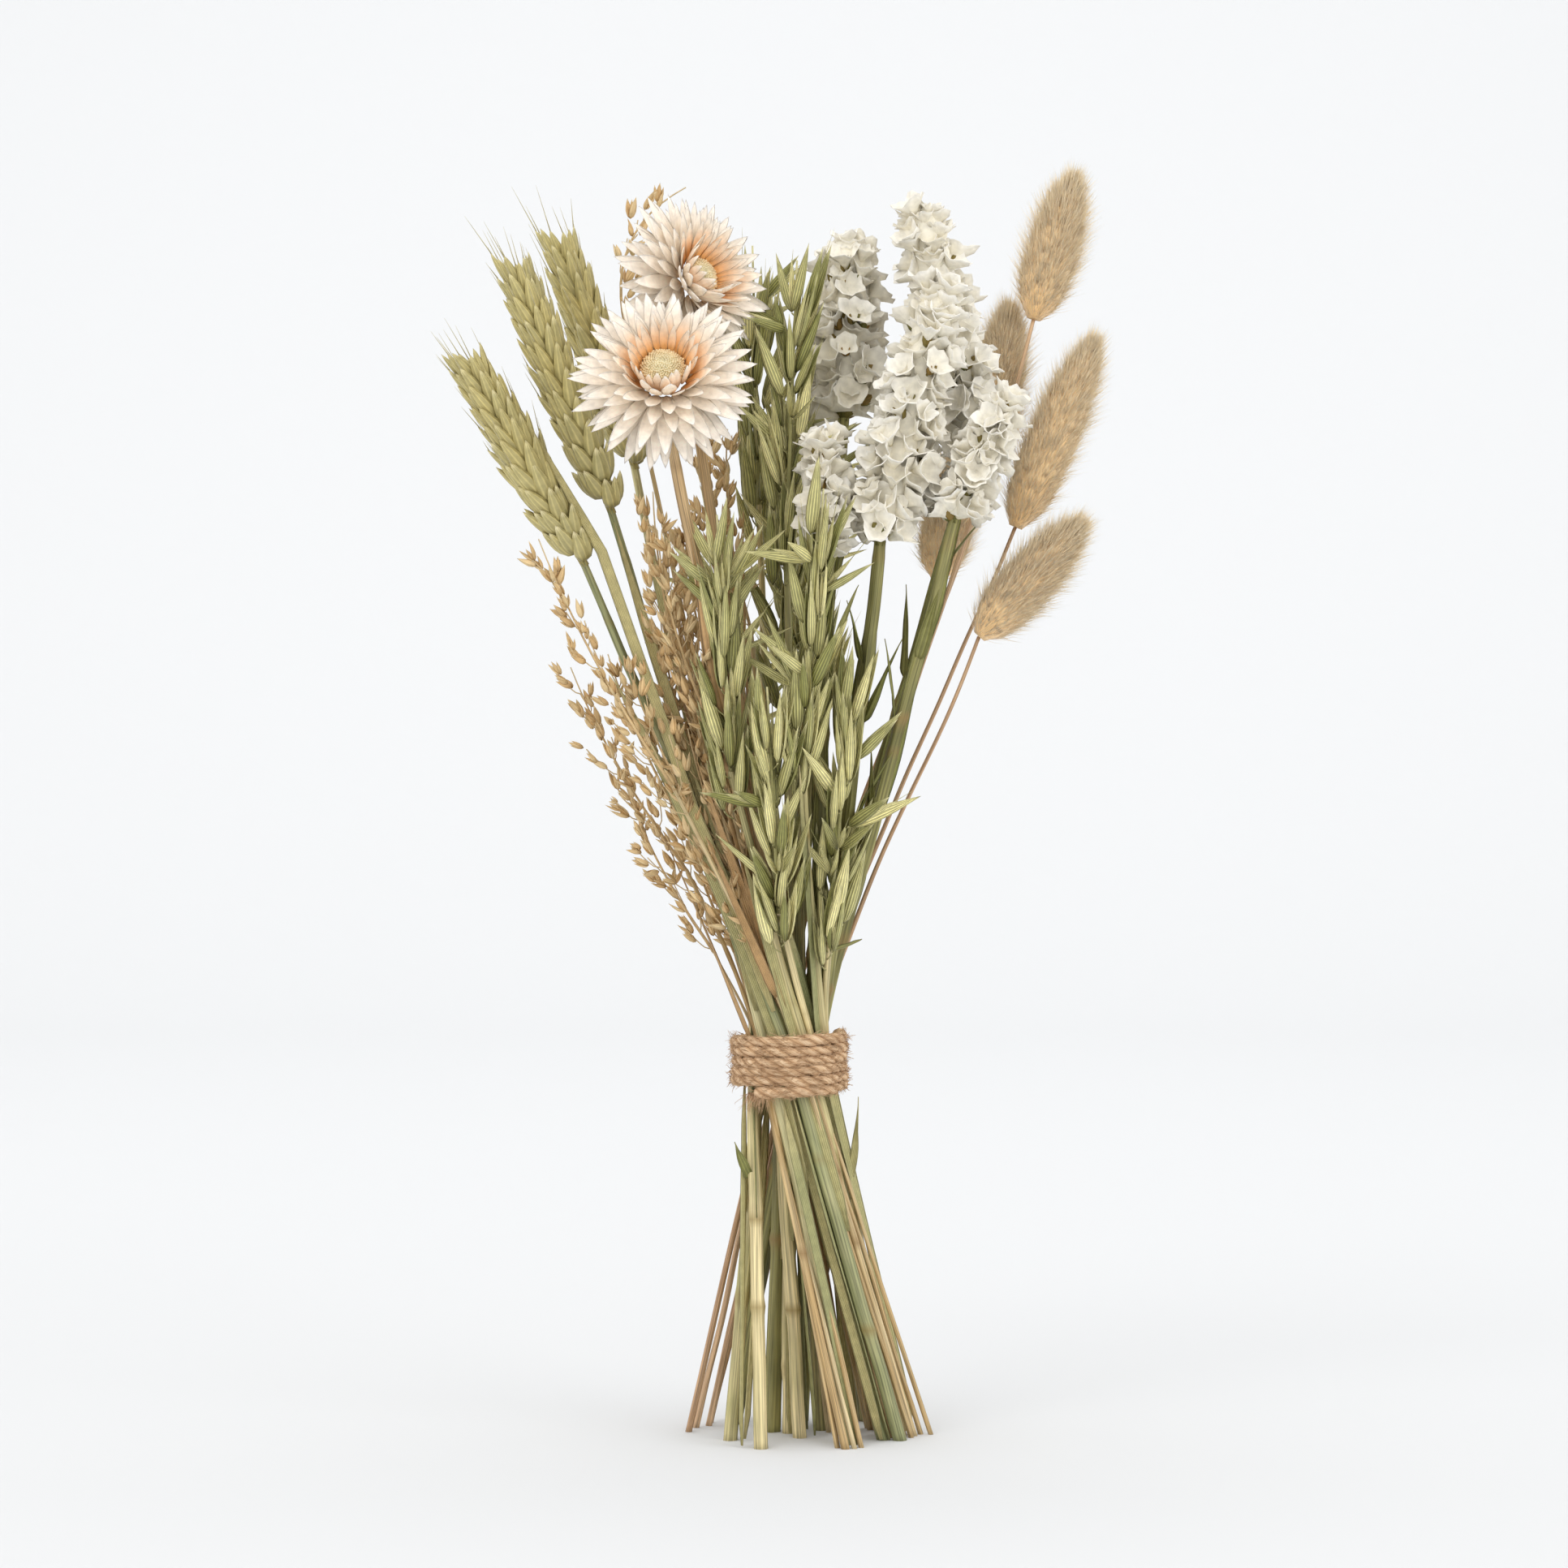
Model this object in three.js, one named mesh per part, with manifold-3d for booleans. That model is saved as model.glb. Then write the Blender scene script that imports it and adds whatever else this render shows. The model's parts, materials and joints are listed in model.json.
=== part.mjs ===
// A bunch of dried flowers, tied with jute twine and standing on its cut stem ends.
//
// The stems are laid in a spiral, as a florist ties them: each one leans round the axis, so that
// the bunch is narrowest at the tie and opens out above and below it. The model is in millimetres,
// +Z up and +Y to the back, with its origin in the middle of the foot, on the surface it stands on.

import * as THREE from "three";
import { mergeVertices } from "three/addons/utils/BufferGeometryUtils.js";
import Module from "manifold-3d";

const wasm = await Module();
wasm.setup();

// ---------------------------------------------------------------- driving dimensions

const TIE_HEIGHT = 114; // narrowest place of the bunch above the surface
const TIE_INNER_RADIUS = 14.2; // of the bundle of stems inside the twine
const TWINE_DIAMETER = 2.6;
const TWINE_TURNS = 5.4;
const TWINE_DROP = 2; // from the narrowest place down to the middle of the twine
const TWINE_GAP = 0.4; // between one turn and the next, and from the stems to the twine
const LEAN_ABOVE = 0.028; // sideways slope of a stem, for each mm that it is from the axis
const LEAN_BELOW = 0.021;
const SPREAD_ABOVE = 0.002; // growth of the whole section, for each mm above the tie
const FOOT_SHIFT = 4; // of the ring of cut ends to the right, under the heavier side
const CLEARANCE = 0.6; // least gap from one plant to the next
const HEAD_GAP = 0.4; // from a stem's top to the head it carries

// Sizes of each kind of plant. headRadius is what its head keeps clear around its axis, and
// underHead how far below a nodding head its stem stops.
const KINDS = {
  wheat: { footRadius: 2.1, neckRadius: 1.2, headRadius: 6.8 },
  oat: { footRadius: 2.1, neckRadius: 0.9, headRadius: 7.6 },
  statice: { footRadius: 2.4, neckRadius: 1.5, headRadius: 11.5 },
  strawflower: { footRadius: 2.1, neckRadius: 1.5, headRadius: 10, underHead: 2.4 },
  bunny_tail: { footRadius: 1.0, neckRadius: 0.6, headRadius: 10 },
  grass: { footRadius: 1.3, neckRadius: 0.6, headRadius: 6.2 },
};

// Where the head of each plant starts and where its tip is: x to the right, y to the back, and z
// up from the narrowest place.
const PLANTS = [
  { kind: "oat", base: [0, 0, 118], tip: [2, 6, 216] },
  { kind: "wheat", base: [-64, -14, 148], tip: [-96, -18, 208] },
  { kind: "wheat", base: [-54, -8, 164], tip: [-83, -10, 238] },
  { kind: "wheat", base: [-47, 14, 178], tip: [-69, 18, 247] },
  { kind: "strawflower", base: [-36.5, -39, 198], tip: [-36.5, -48, 202] },
  { kind: "strawflower", base: [-33, -11.5, 229.5], tip: [-26, -18, 231.5] },
  { kind: "oat", base: [-9, 12, 166], tip: [-11, 16, 258] },
  { kind: "oat", base: [-1, -14, 154], tip: [3, -14, 252] },
  { kind: "oat", base: [-17, -27, 86], tip: [-22, -34, 174] },
  { kind: "oat", base: [5, -34, 90], tip: [9, -44, 182] },
  { kind: "oat", base: [-4, -27, 44], tip: [-7, -40, 122] },
  { kind: "oat", base: [14, -24, 42], tip: [20, -33, 132] },
  { kind: "oat", base: [-16, 34, 82], tip: [-22, 42, 172] },
  { kind: "oat", base: [8, 32, 112], tip: [8, 38, 206] },
  { kind: "statice", base: [56, -4, 182], tip: [38, -8, 256] },
  { kind: "statice", base: [27, -30, 154], tip: [42, -30, 232] },
  { kind: "statice", base: [17, 8, 192], tip: [11, 10, 248] },
  { kind: "statice", base: [50, -32, 160], tip: [57, -32, 199] },
  { kind: "statice", base: [12, -32, 148], tip: [11, -34, 188] },
  { kind: "bunny_tail", base: [76, 12, 222], tip: [87, 14, 268] },
  { kind: "bunny_tail", base: [63, 22, 180], tip: [68, 24, 230] },
  { kind: "bunny_tail", base: [70, 4, 159], tip: [94, 4, 220] },
  { kind: "bunny_tail", base: [61, -16, 126], tip: [89, -20, 162] },
  { kind: "bunny_tail", base: [48, 34, 144], tip: [54, 40, 188] },
  { kind: "grass", base: [-50, 18, 216], tip: [-30, 20, 262] },
  { kind: "grass", base: [-38, -30, 82], tip: [-74, -34, 156] },
  { kind: "grass", base: [-34, 6, 56], tip: [-66, 2, 118] },
  { kind: "grass", base: [-30, -16, 100], tip: [-40, -22, 170] },
];

const COLOURS = {
  wheat_stem: "#a9a97c",
  wheat_ear: "#b9ad6c",
  oat_stem: "#98a070",
  oat_panicle: "#a8b07c",
  statice_stem: "#6f7747",
  statice_flowers: "#f1efe9",
  strawflower_stem: "#b08f62",
  strawflower_bracts: "#f6dcc4",
  strawflower_disc: "#dccfa0",
  bunny_tail_stem: "#a07f63",
  bunny_tail: "#d9b184",
  grass_stem: "#b39a6c",
  grass_panicle: "#b9925c",
  twine: "#b58f68",
};

// ---------------------------------------------------------------- solids

const UP = new THREE.Vector3(0, 0, 1);

// A three.js geometry as a manifold-3d solid.
function solidOf(geometry) {
  const bare = geometry.clone();
  bare.deleteAttribute("normal");
  bare.deleteAttribute("uv");
  const merged = mergeVertices(bare, 1e-4);
  return new wasm.Manifold(
    new wasm.Mesh({
      numProp: 3,
      vertProperties: merged.attributes.position.array,
      triVerts: new Uint32Array(merged.index.array),
    }),
  );
}

// One geometry from several that overlap.
function joined(geometries) {
  const solid = geometries.map(solidOf).reduce((a, b) => a.add(b));
  const mesh = solid.getMesh();
  return new THREE.BufferGeometry()
    .setAttribute("position", new THREE.BufferAttribute(mesh.vertProperties, mesh.numProp))
    .setIndex(new THREE.BufferAttribute(mesh.triVerts, 1));
}

// A cylinder along +Z whose rings are moved and sized by place(share of its height).
function shapedCylinder(sides, rings, place) {
  const geometry = new THREE.CylinderGeometry(1, 1, 1, sides, rings).rotateX(Math.PI / 2);
  const position = geometry.attributes.position;
  for (let i = 0; i < position.count; i++) {
    const ring = place(position.getZ(i) + 0.5);
    position.setXYZ(
      i,
      ring.x + ring.radius * position.getX(i),
      ring.y + ring.radius * (ring.flat ?? 1) * position.getY(i),
      ring.z,
    );
  }
  return geometry;
}

// A geometry turned from +Z to a direction and moved to a point.
function aimed(geometry, direction, point) {
  const turn = new THREE.Quaternion().setFromUnitVectors(UP, direction.clone().normalize());
  return geometry.applyQuaternion(turn).translate(point.x, point.y, point.z);
}

// The direction that leans out from +Z by an angle, at a heading round it.
const leaning = (lean, heading) =>
  new THREE.Vector3(
    Math.sin(lean) * Math.cos(heading),
    Math.sin(lean) * Math.sin(heading),
    Math.cos(lean),
  );

const GOLDEN_ANGLE = Math.PI * (3 - Math.sqrt(5));

// ---------------------------------------------------------------- how the stems lie

// Where a stem that passes the tie at waist lies at a height: straight lines that lean round
// the axis, further the further out they are, never meet.
function leanAndSpread(z) {
  const above = z - TIE_HEIGHT;
  return above > 0
    ? { lean: LEAN_ABOVE * above, spread: 1 + SPREAD_ABOVE * above, shift: 0 }
    : { lean: LEAN_BELOW * above, spread: 1, shift: (-FOOT_SHIFT * above) / TIE_HEIGHT };
}

function stemAt(waist, z) {
  const { lean, spread, shift } = leanAndSpread(z);
  return new THREE.Vector2(
    spread * waist.x + lean * waist.y + shift,
    spread * waist.y - lean * waist.x,
  );
}

// The waist of the stem that passes a point at a height above the tie.
function waistOf(x, y, z) {
  const { lean, spread } = leanAndSpread(z);
  return new THREE.Vector2(spread * x - lean * y, spread * y + lean * x).divideScalar(
    spread * spread + lean * lean,
  );
}

const LEVEL = 6; // height between the levels at which the stems are kept apart
const SETTLING_STEPS = 500;
const EASING = 0.3; // how far a push spreads along a stem in one step
const tieHalfHeight =
  (TWINE_TURNS * (TWINE_DIAMETER + TWINE_GAP)) / 2 + TWINE_DIAMETER + TWINE_DROP;

// A plant before it settles: its stem's points, one a level, and the axis of its head.
function laidOut(plan, index) {
  const kind = KINDS[plan.kind];
  const base = new THREE.Vector3(...plan.base).setZ(TIE_HEIGHT + plan.base[2]);
  const tip = new THREE.Vector3(...plan.tip).setZ(TIE_HEIGHT + plan.tip[2]);
  const room = TIE_INNER_RADIUS - kind.footRadius;
  const waist = waistOf(base.x, base.y, base.z).clampLength(0, room);
  const reached = stemAt(waist, base.z);
  const points = [];
  for (let z = 0; z < base.z; z += LEVEL) {
    const rise = Math.max(0, (z - TIE_HEIGHT) / (base.z - TIE_HEIGHT)) ** 2;
    const at = index ? stemAt(waist, z) : new THREE.Vector2();
    at.x += (base.x - reached.x) * rise;
    at.y += (base.y - reached.y) * rise;
    points.push(at);
  }
  return {
    ...plan,
    ...kind,
    index,
    base,
    tip,
    points,
    rest: points.map((p) => p.clone()),
    fixed: index === 0, // the plant in the middle stands upright on the origin
  };
}

const stemRadius = (plant, z) =>
  THREE.MathUtils.lerp(plant.footRadius, plant.neckRadius, Math.min(1, z / plant.base.z));

// The disc that a plant fills at a level, or null above its tip.
function discAt(plant, level) {
  const z = level * LEVEL;
  if (level < plant.points.length) {
    const at = plant.points[level];
    return { plant, level, x: at.x, y: at.y, radius: stemRadius(plant, z) };
  }
  if (z > plant.tip.z) return null;
  const share = (z - plant.base.z) / (plant.tip.z - plant.base.z);
  const swell = 0.35 + 0.65 * Math.sin(Math.PI * Math.min(1, share * 0.7 + 0.15));
  return {
    plant,
    level,
    x: THREE.MathUtils.lerp(plant.base.x, plant.tip.x, share),
    y: THREE.MathUtils.lerp(plant.base.y, plant.tip.y, share),
    radius: plant.headRadius * swell,
    head: true,
  };
}

// Moves the plants apart until no two touch: each push spreads along its stem, and a head
// moves as one piece.
function settle(plants) {
  const levels = Math.ceil(Math.max(...plants.map((p) => p.tip.z)) / LEVEL);
  for (let step = 0; step < SETTLING_STEPS; step++) {
    for (const plant of plants) plant.headPush = new THREE.Vector2();
    for (let level = 0; level <= levels; level++) {
      const discs = plants.map((p) => discAt(p, level)).filter(Boolean);
      discs.forEach((a, i) =>
        discs.slice(i + 1).forEach((b) => {
          const away = new THREE.Vector2(b.x - a.x, b.y - a.y);
          const short = a.radius + b.radius + CLEARANCE - away.length();
          if (short <= 0) return;
          away.setLength(short / 2);
          push(a, away.clone().negate());
          push(b, away);
        }),
      );
    }
    for (const plant of plants) ease(plant);
  }
  return plants;
}

function push(disc, by) {
  if (disc.plant.fixed) return;
  if (disc.head) disc.plant.headPush.addScaledVector(by, 0.2);
  else disc.plant.points[disc.level].add(by);
}

// Spreads a plant's pushes along its stem, carries its head along and keeps it inside the tie.
function ease(plant) {
  if (plant.fixed) return;
  const { points, rest, headPush } = plant;
  headPush.clampLength(0, 0.5);
  for (const end of [plant.base, plant.tip]) {
    end.x += headPush.x;
    end.y += headPush.y;
  }
  const moved = points.map((p, i) => p.clone().sub(rest[i]));
  const top = points.length - 1;
  moved.forEach((move, i) => {
    const below = moved[Math.max(0, i - 1)];
    const above = moved[Math.min(top, i + 1)];
    move.x += EASING * (below.x + above.x - 2 * move.x);
    move.y += EASING * (below.y + above.y - 2 * move.y);
    points[i].addVectors(rest[i], move);
  });
  points[top].x += headPush.x;
  points[top].y += headPush.y;
  points.forEach((p, level) => {
    const z = level * LEVEL;
    if (Math.abs(z - TIE_HEIGHT) < tieHalfHeight + LEVEL)
      p.clampLength(0, TIE_INNER_RADIUS - stemRadius(plant, z));
  });
}

// ---------------------------------------------------------------- stems

const STEM_SIDES = 6;
const STEM_RING_LEVELS = 4; // levels from one ring of a stem to the next

// A stem from its cut end on the surface to just under its head. Its rings are level, so its
// cut end is flat on the surface.
function stem(plant) {
  const top = plant.base.z - HEAD_GAP - (plant.underHead ?? 0);
  const rings = Math.round(top / (LEVEL * STEM_RING_LEVELS));
  const last = plant.points.length - 1;
  return shapedCylinder(STEM_SIDES, rings, (share) => {
    const z = share * top;
    const level = Math.min(z / LEVEL, last);
    const low = Math.floor(level);
    const high = Math.min(low + 1, last);
    const at = plant.points[low].clone().lerp(plant.points[high], level - low);
    return { x: at.x, y: at.y, z, radius: stemRadius(plant, z) };
  });
}

// start is above the narrowest place.
const LEAF = { start: 102, length: 52, halfWidth: 3.6, thickness: 0.8, bow: 5 };

// A long dry leaf in front of a stem, bowing away from it towards its tip.
function leafOn(plant) {
  const { start, length, halfWidth, thickness, bow } = LEAF;
  return shapedCylinder(4, 7, (share) => {
    const z = TIE_HEIGHT + start + share * length;
    const level = Math.floor(z / LEVEL);
    const at = plant.points[level].clone().lerp(plant.points[level + 1], z / LEVEL - level);
    const radius = halfWidth * Math.sin(Math.PI * (0.1 + 0.86 * share));
    const away = stemRadius(plant, z) + HEAD_GAP + thickness + bow * share * share;
    return { x: at.x, y: at.y - away, z, radius, flat: thickness / halfWidth };
  });
}

// ---------------------------------------------------------------- heads, each along +Z from 0

const HEAD_START = 1.2; // the head's own start, past the end of its stem

const WHEAT = { radius: 5.6, flat: 0.75, sides: 8, spikelets: 9, notch: 0.16 };

// A wheat ear: rows of spikelets, as a solid that swells and narrows with them.
function wheatEar(length) {
  const rings = WHEAT.spikelets * 2;
  return shapedCylinder(WHEAT.sides, rings, (share) => {
    const row = Math.round(share * rings);
    const outline = Math.sin(Math.PI * (0.12 + 0.8 * share)) ** 0.6;
    const notch = row % 2 ? 1 : 1 - WHEAT.notch;
    return { x: 0, y: 0, z: share * length, radius: WHEAT.radius * outline * notch, flat: WHEAT.flat };
  });
}

// A pointed husk of a length and radius, widest a third of the way up.
const husk = (length, radius, sides) =>
  new THREE.LatheGeometry(
    [
      new THREE.Vector2(0, 0),
      new THREE.Vector2(radius, length * 0.35),
      new THREE.Vector2(0, length),
    ],
    sides,
  ).rotateX(Math.PI / 2);

// A panicle: husks round a thin stalk, leaning out from it at steady heights.
function panicle(length, { husks, huskLength, huskRadius, lean, stalkRadius, sides }) {
  const reach = length - huskLength * 0.9;
  const stalk = shapedCylinder(sides, 2, (share) => ({
    x: 0,
    y: 0,
    z: share * (reach + 2),
    radius: stalkRadius * (1 - 0.4 * share),
  }));
  const parts = [stalk];
  for (let i = 0; i < husks; i++) {
    const height = 1 + (reach * i) / (husks - 1);
    const direction = i === husks - 1 ? UP : leaning(lean, i * GOLDEN_ANGLE);
    parts.push(aimed(husk(huskLength, huskRadius, sides), direction, UP.clone().multiplyScalar(height)));
  }
  return joined(parts);
}

const OAT = { husks: 11, huskLength: 23, huskRadius: 2.2, lean: 0.25, stalkRadius: 0.8, sides: 4 };
const GRASS = { husks: 14, huskLength: 8, huskRadius: 1.3, lean: 0.7, stalkRadius: 0.6, sides: 4 };

const STATICE = { calyces: 13, length: 9, mouth: 4.6, throat: 1.3, lean: 1.05, stalkRadius: 1.6 };

// A statice spike: papery funnels crowded round a stalk.
function staticeSpike(length) {
  const { calyces, mouth, throat, lean, stalkRadius } = STATICE;
  const reach = length - STATICE.length;
  const parts = [
    shapedCylinder(5, 1, (share) => ({ x: 0, y: 0, z: share * (reach + 3), radius: stalkRadius })),
  ];
  for (let i = 0; i < calyces; i++) {
    const funnel = shapedCylinder(5, 1, (share) => ({
      x: 0,
      y: 0,
      z: share * STATICE.length,
      radius: share ? mouth : throat,
    }));
    const height = 4 + ((reach - 4) * i) / (calyces - 1);
    const direction = i === calyces - 1 ? UP : leaning(lean, i * GOLDEN_ANGLE);
    parts.push(aimed(funnel, direction, UP.clone().multiplyScalar(height)));
  }
  return joined(parts);
}

const TAIL = { radius: 8.6, sides: 10, rings: 7 };

// A bunny tail: a soft egg, fullest a third of the way up.
function bunnyTail(length) {
  return shapedCylinder(TAIL.sides, TAIL.rings, (share) => ({
    x: 0,
    y: 0,
    z: share * length,
    radius: TAIL.radius * Math.sin(Math.PI * (0.05 + 0.9 * share ** 0.8)) ** 0.8,
  }));
}

const FLOWER = {
  cupDepth: 8, // of the green cup behind the bracts
  cupRadius: 10.4,
  neckRadius: 2.6,
  seat: 1.8, // how deep a bract sits in the cup
  discRadius: 7.6,
  discHeight: 3.4,
  rows: [
    { bracts: 10, length: 11, width: 7, rise: 0.95 },
    { bracts: 12, length: 17, width: 8, rise: 0.36 },
    { bracts: 13, length: 17, width: 8, rise: -0.1 },
  ],
  thickness: 1.1,
};

// The ring of bracts of a strawflower, facing +Z, on its cup.
function strawflowerBracts(size) {
  const { cupDepth, cupRadius, neckRadius, seat, rows, thickness } = FLOWER;
  const parts = [
    shapedCylinder(14, 3, (share) => ({
      x: 0,
      y: 0,
      z: share * cupDepth,
      radius: size * THREE.MathUtils.lerp(neckRadius, cupRadius, share ** 0.4),
    })),
  ];
  rows.forEach((row, r) => {
    for (let i = 0; i < row.bracts; i++) {
      const heading = ((i + r / 2) * 2 * Math.PI) / row.bracts;
      const bract = new THREE.OctahedronGeometry(0.5)
        .scale(size * row.length, size * row.width, thickness)
        .translate((size * row.length) / 2, 0, 0)
        .rotateY(-row.rise)
        .translate(size * (cupRadius - seat), 0, cupDepth - 1.2 - r)
        .rotateZ(heading);
      parts.push(bract);
    }
  });
  return joined(parts);
}

// The domed disc in the middle of a strawflower, facing +Z.
const strawflowerDisc = (size) =>
  shapedCylinder(12, 3, (share) => ({
    x: 0,
    y: 0,
    z: share * FLOWER.discHeight,
    radius: size * FLOWER.discRadius * Math.sqrt(1 - 0.8 * share * share),
  }));

// ---------------------------------------------------------------- twine

// The centreline of the twine: a helix round the bundle.
class Winding extends THREE.Curve {
  getPoint(share) {
    const turn = share * TWINE_TURNS * 2 * Math.PI;
    const radius = TIE_INNER_RADIUS + TWINE_GAP + TWINE_DIAMETER / 2;
    const pitch = TWINE_DIAMETER + TWINE_GAP;
    return new THREE.Vector3(
      radius * Math.cos(turn),
      radius * Math.sin(turn),
      TIE_HEIGHT - TWINE_DROP + (share - 0.5) * TWINE_TURNS * pitch,
    );
  }
}

function twine() {
  const section = new THREE.Shape();
  section.absarc(0, 0, TWINE_DIAMETER / 2, 0, 2 * Math.PI);
  return new THREE.ExtrudeGeometry(section, {
    curveSegments: 3,
    steps: Math.round(TWINE_TURNS * 16),
    extrudePath: new Winding(),
    bevelEnabled: false,
  });
}

// ---------------------------------------------------------------- the bunch

const bunch = new THREE.Group();

function add(name, geometry, colour, roughness = 0.85) {
  const material = new THREE.MeshStandardMaterial({ color: COLOURS[colour], roughness, metalness: 0 });
  const mesh = new THREE.Mesh(geometry, material);
  mesh.name = name;
  bunch.add(mesh);
  return mesh;
}

// Sets a head made along +Z onto the end of its plant's stem.
function setOn(plant, mesh, along = HEAD_START) {
  const axis = plant.tip.clone().sub(plant.base).normalize();
  mesh.position.copy(plant.base).addScaledVector(axis, along);
  mesh.quaternion.setFromUnitVectors(UP, axis);
}

const HEADS = {
  wheat: (plant, number, length) => setOn(plant, add(`wheat_ear_${number}`, wheatEar(length), "wheat_ear")),
  oat: (plant, number, length) =>
    setOn(plant, add(`oat_panicle_${number}`, panicle(length, OAT), "oat_panicle")),
  grass: (plant, number, length) =>
    setOn(plant, add(`grass_panicle_${number}`, panicle(length, GRASS), "grass_panicle")),
  statice: (plant, number, length) =>
    setOn(plant, add(`statice_flowers_${number}`, staticeSpike(length), "statice_flowers")),
  bunny_tail: (plant, number, length) =>
    setOn(plant, add(`bunny_tail_${number}`, bunnyTail(length), "bunny_tail", 1)),
  strawflower: (plant, number) => {
    const size = number === 1 ? 1 : 0.88;
    const bracts = add(`strawflower_bracts_${number}`, strawflowerBracts(size), "strawflower_bracts");
    const disc = add(`strawflower_disc_${number}`, strawflowerDisc(size), "strawflower_disc");
    setOn(plant, bracts);
    setOn(plant, disc, HEAD_START + FLOWER.cupDepth + HEAD_GAP);
  },
};

const plants = settle(PLANTS.map(laidOut));
const numbers = {};
for (const plant of plants) {
  const number = (numbers[plant.kind] = (numbers[plant.kind] ?? 0) + 1);
  const length = plant.tip.distanceTo(plant.base) - HEAD_START;
  add(`${plant.kind}_stem_${number}`, stem(plant), `${plant.kind}_stem`);
  HEADS[plant.kind](plant, number, length);
}
const leafy = plants.find((plant) => plant.kind === "strawflower");
add("strawflower_leaf", leafOn(leafy), "strawflower_stem");
add("twine_binding", twine(), "twine", 0.95);

export default bunch;
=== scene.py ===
"""A bunch of dried flowers, tied with jute twine and standing on its cut stem ends.

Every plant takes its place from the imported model: a stem follows the middle of its own solid, and a
head stands where its solid does. Lengths are in metres, +Z up, +Y to the back.
"""

import json
import logging
import math
from dataclasses import dataclass, replace
from enum import Enum
from functools import cache

import bpy
import numpy as np
from mathutils import Matrix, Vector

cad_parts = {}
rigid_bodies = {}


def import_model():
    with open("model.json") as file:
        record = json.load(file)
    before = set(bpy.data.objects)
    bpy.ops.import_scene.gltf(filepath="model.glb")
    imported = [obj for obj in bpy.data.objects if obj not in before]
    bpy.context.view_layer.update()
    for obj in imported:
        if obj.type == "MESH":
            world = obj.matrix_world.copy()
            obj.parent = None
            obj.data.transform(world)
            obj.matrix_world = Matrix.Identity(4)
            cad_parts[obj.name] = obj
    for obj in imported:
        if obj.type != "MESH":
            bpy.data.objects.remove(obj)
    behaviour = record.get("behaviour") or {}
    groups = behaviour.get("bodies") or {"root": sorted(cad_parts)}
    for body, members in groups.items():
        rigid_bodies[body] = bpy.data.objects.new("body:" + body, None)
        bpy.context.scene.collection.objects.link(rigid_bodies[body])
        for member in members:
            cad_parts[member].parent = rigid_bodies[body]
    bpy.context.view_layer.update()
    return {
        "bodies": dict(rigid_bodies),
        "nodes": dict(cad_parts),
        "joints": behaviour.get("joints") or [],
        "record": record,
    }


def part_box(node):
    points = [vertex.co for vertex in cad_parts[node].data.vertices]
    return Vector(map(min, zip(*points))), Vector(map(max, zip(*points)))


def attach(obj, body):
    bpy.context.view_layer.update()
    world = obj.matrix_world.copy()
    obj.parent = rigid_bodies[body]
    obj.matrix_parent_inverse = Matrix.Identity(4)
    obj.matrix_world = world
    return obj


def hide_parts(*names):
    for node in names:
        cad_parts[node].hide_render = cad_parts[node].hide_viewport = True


LOG = logging.getLogger("dried_flowers")
MM = 0.001
GOLDEN = math.pi * (3 - math.sqrt(5))
UP = np.array([0.0, 0.0, 1.0])
FRONT = np.array([0.0, -1.0, 0.0])
LEVEL = np.array([1.0, 1.0, 0.0])  # times a vector, its level part
SOLID_TWINE_MM = 2.6  # thickness of the solid twine
SHORT_SPIKE_MM = 50  # a statice spike under this is a slim one
UNIT_DISC_MM = 7.6  # a strawflower whose solid disc has this radius is of size 1
OVER_TIE_MM = 128  # the lowest height at which leaves are clear of the twine
WINGS_FROM_MM = 158  # where the wings of a statice stem start
LOOSE_FROM = 0.132  # the height in metres from which sheaths part from their stems

# Added to a plant's seed, so that each of its small parts draws numbers of its own.
THIN_STALK_SEED = 70
LEAVES_SEED = 500
LEAF_SEED = 600
SHEATH_SEED = 700
FLAG_LEAF_SEED = 800
LOWER_SHEATH_SEED = 900

Array = np.ndarray
Tree = bpy.types.NodeTree
Socket = bpy.types.NodeSocket


class Kind(Enum):
    """The kinds of plant in the bunch, as their solids are named."""

    WHEAT = "wheat"
    OAT = "oat"
    STATICE = "statice"
    STRAWFLOWER = "strawflower"
    BUNNY_TAIL = "bunny_tail"
    GRASS = "grass"


HEAD_NODES = {
    Kind.WHEAT: "wheat_ear",
    Kind.OAT: "oat_panicle",
    Kind.STATICE: "statice_flowers",
    Kind.STRAWFLOWER: "strawflower_bracts",
    Kind.BUNNY_TAIL: "bunny_tail",
    Kind.GRASS: "grass_panicle",
}


# ------------------------------------------------------------------ vectors and curves


def unit(vectors: Array) -> Array:
    """Vectors divided by their lengths."""
    return vectors / np.maximum(np.linalg.norm(vectors, axis=-1, keepdims=True), 1e-12)


def square_to(vectors: Array, axis: Array) -> Array:
    """Unit vectors along the parts of vectors that are square to unit axes."""
    return unit(vectors - np.sum(vectors * axis, axis=-1, keepdims=True) * axis)


def mixed(low: Array, high: Array, share: Array) -> Array:
    """The value a share of the way from low to high."""
    return low + (high - low) * share


def angles_round(count: int) -> Array:
    """Angles at even steps round a circle, (count,)."""
    return np.linspace(0, 2 * math.pi, count, endpoint=False)


def steps(count: int) -> Array:
    """Shares from 0 to 1 that paths can be multiplied by, (1, count, 1)."""
    return np.linspace(0, 1, count)[None, :, None]


def capped(shares: Array) -> Array:
    """The rings' shares of a form with those of its two ends, 0 and 1."""
    return np.concatenate([[0], shares, [1]])


def varied(rng: np.random.Generator, mean: float, spread: float, count: int) -> Array:
    """Tones that vary about a mean, (count,)."""
    return np.clip(rng.normal(mean, spread, count), 0, 1)


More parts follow.
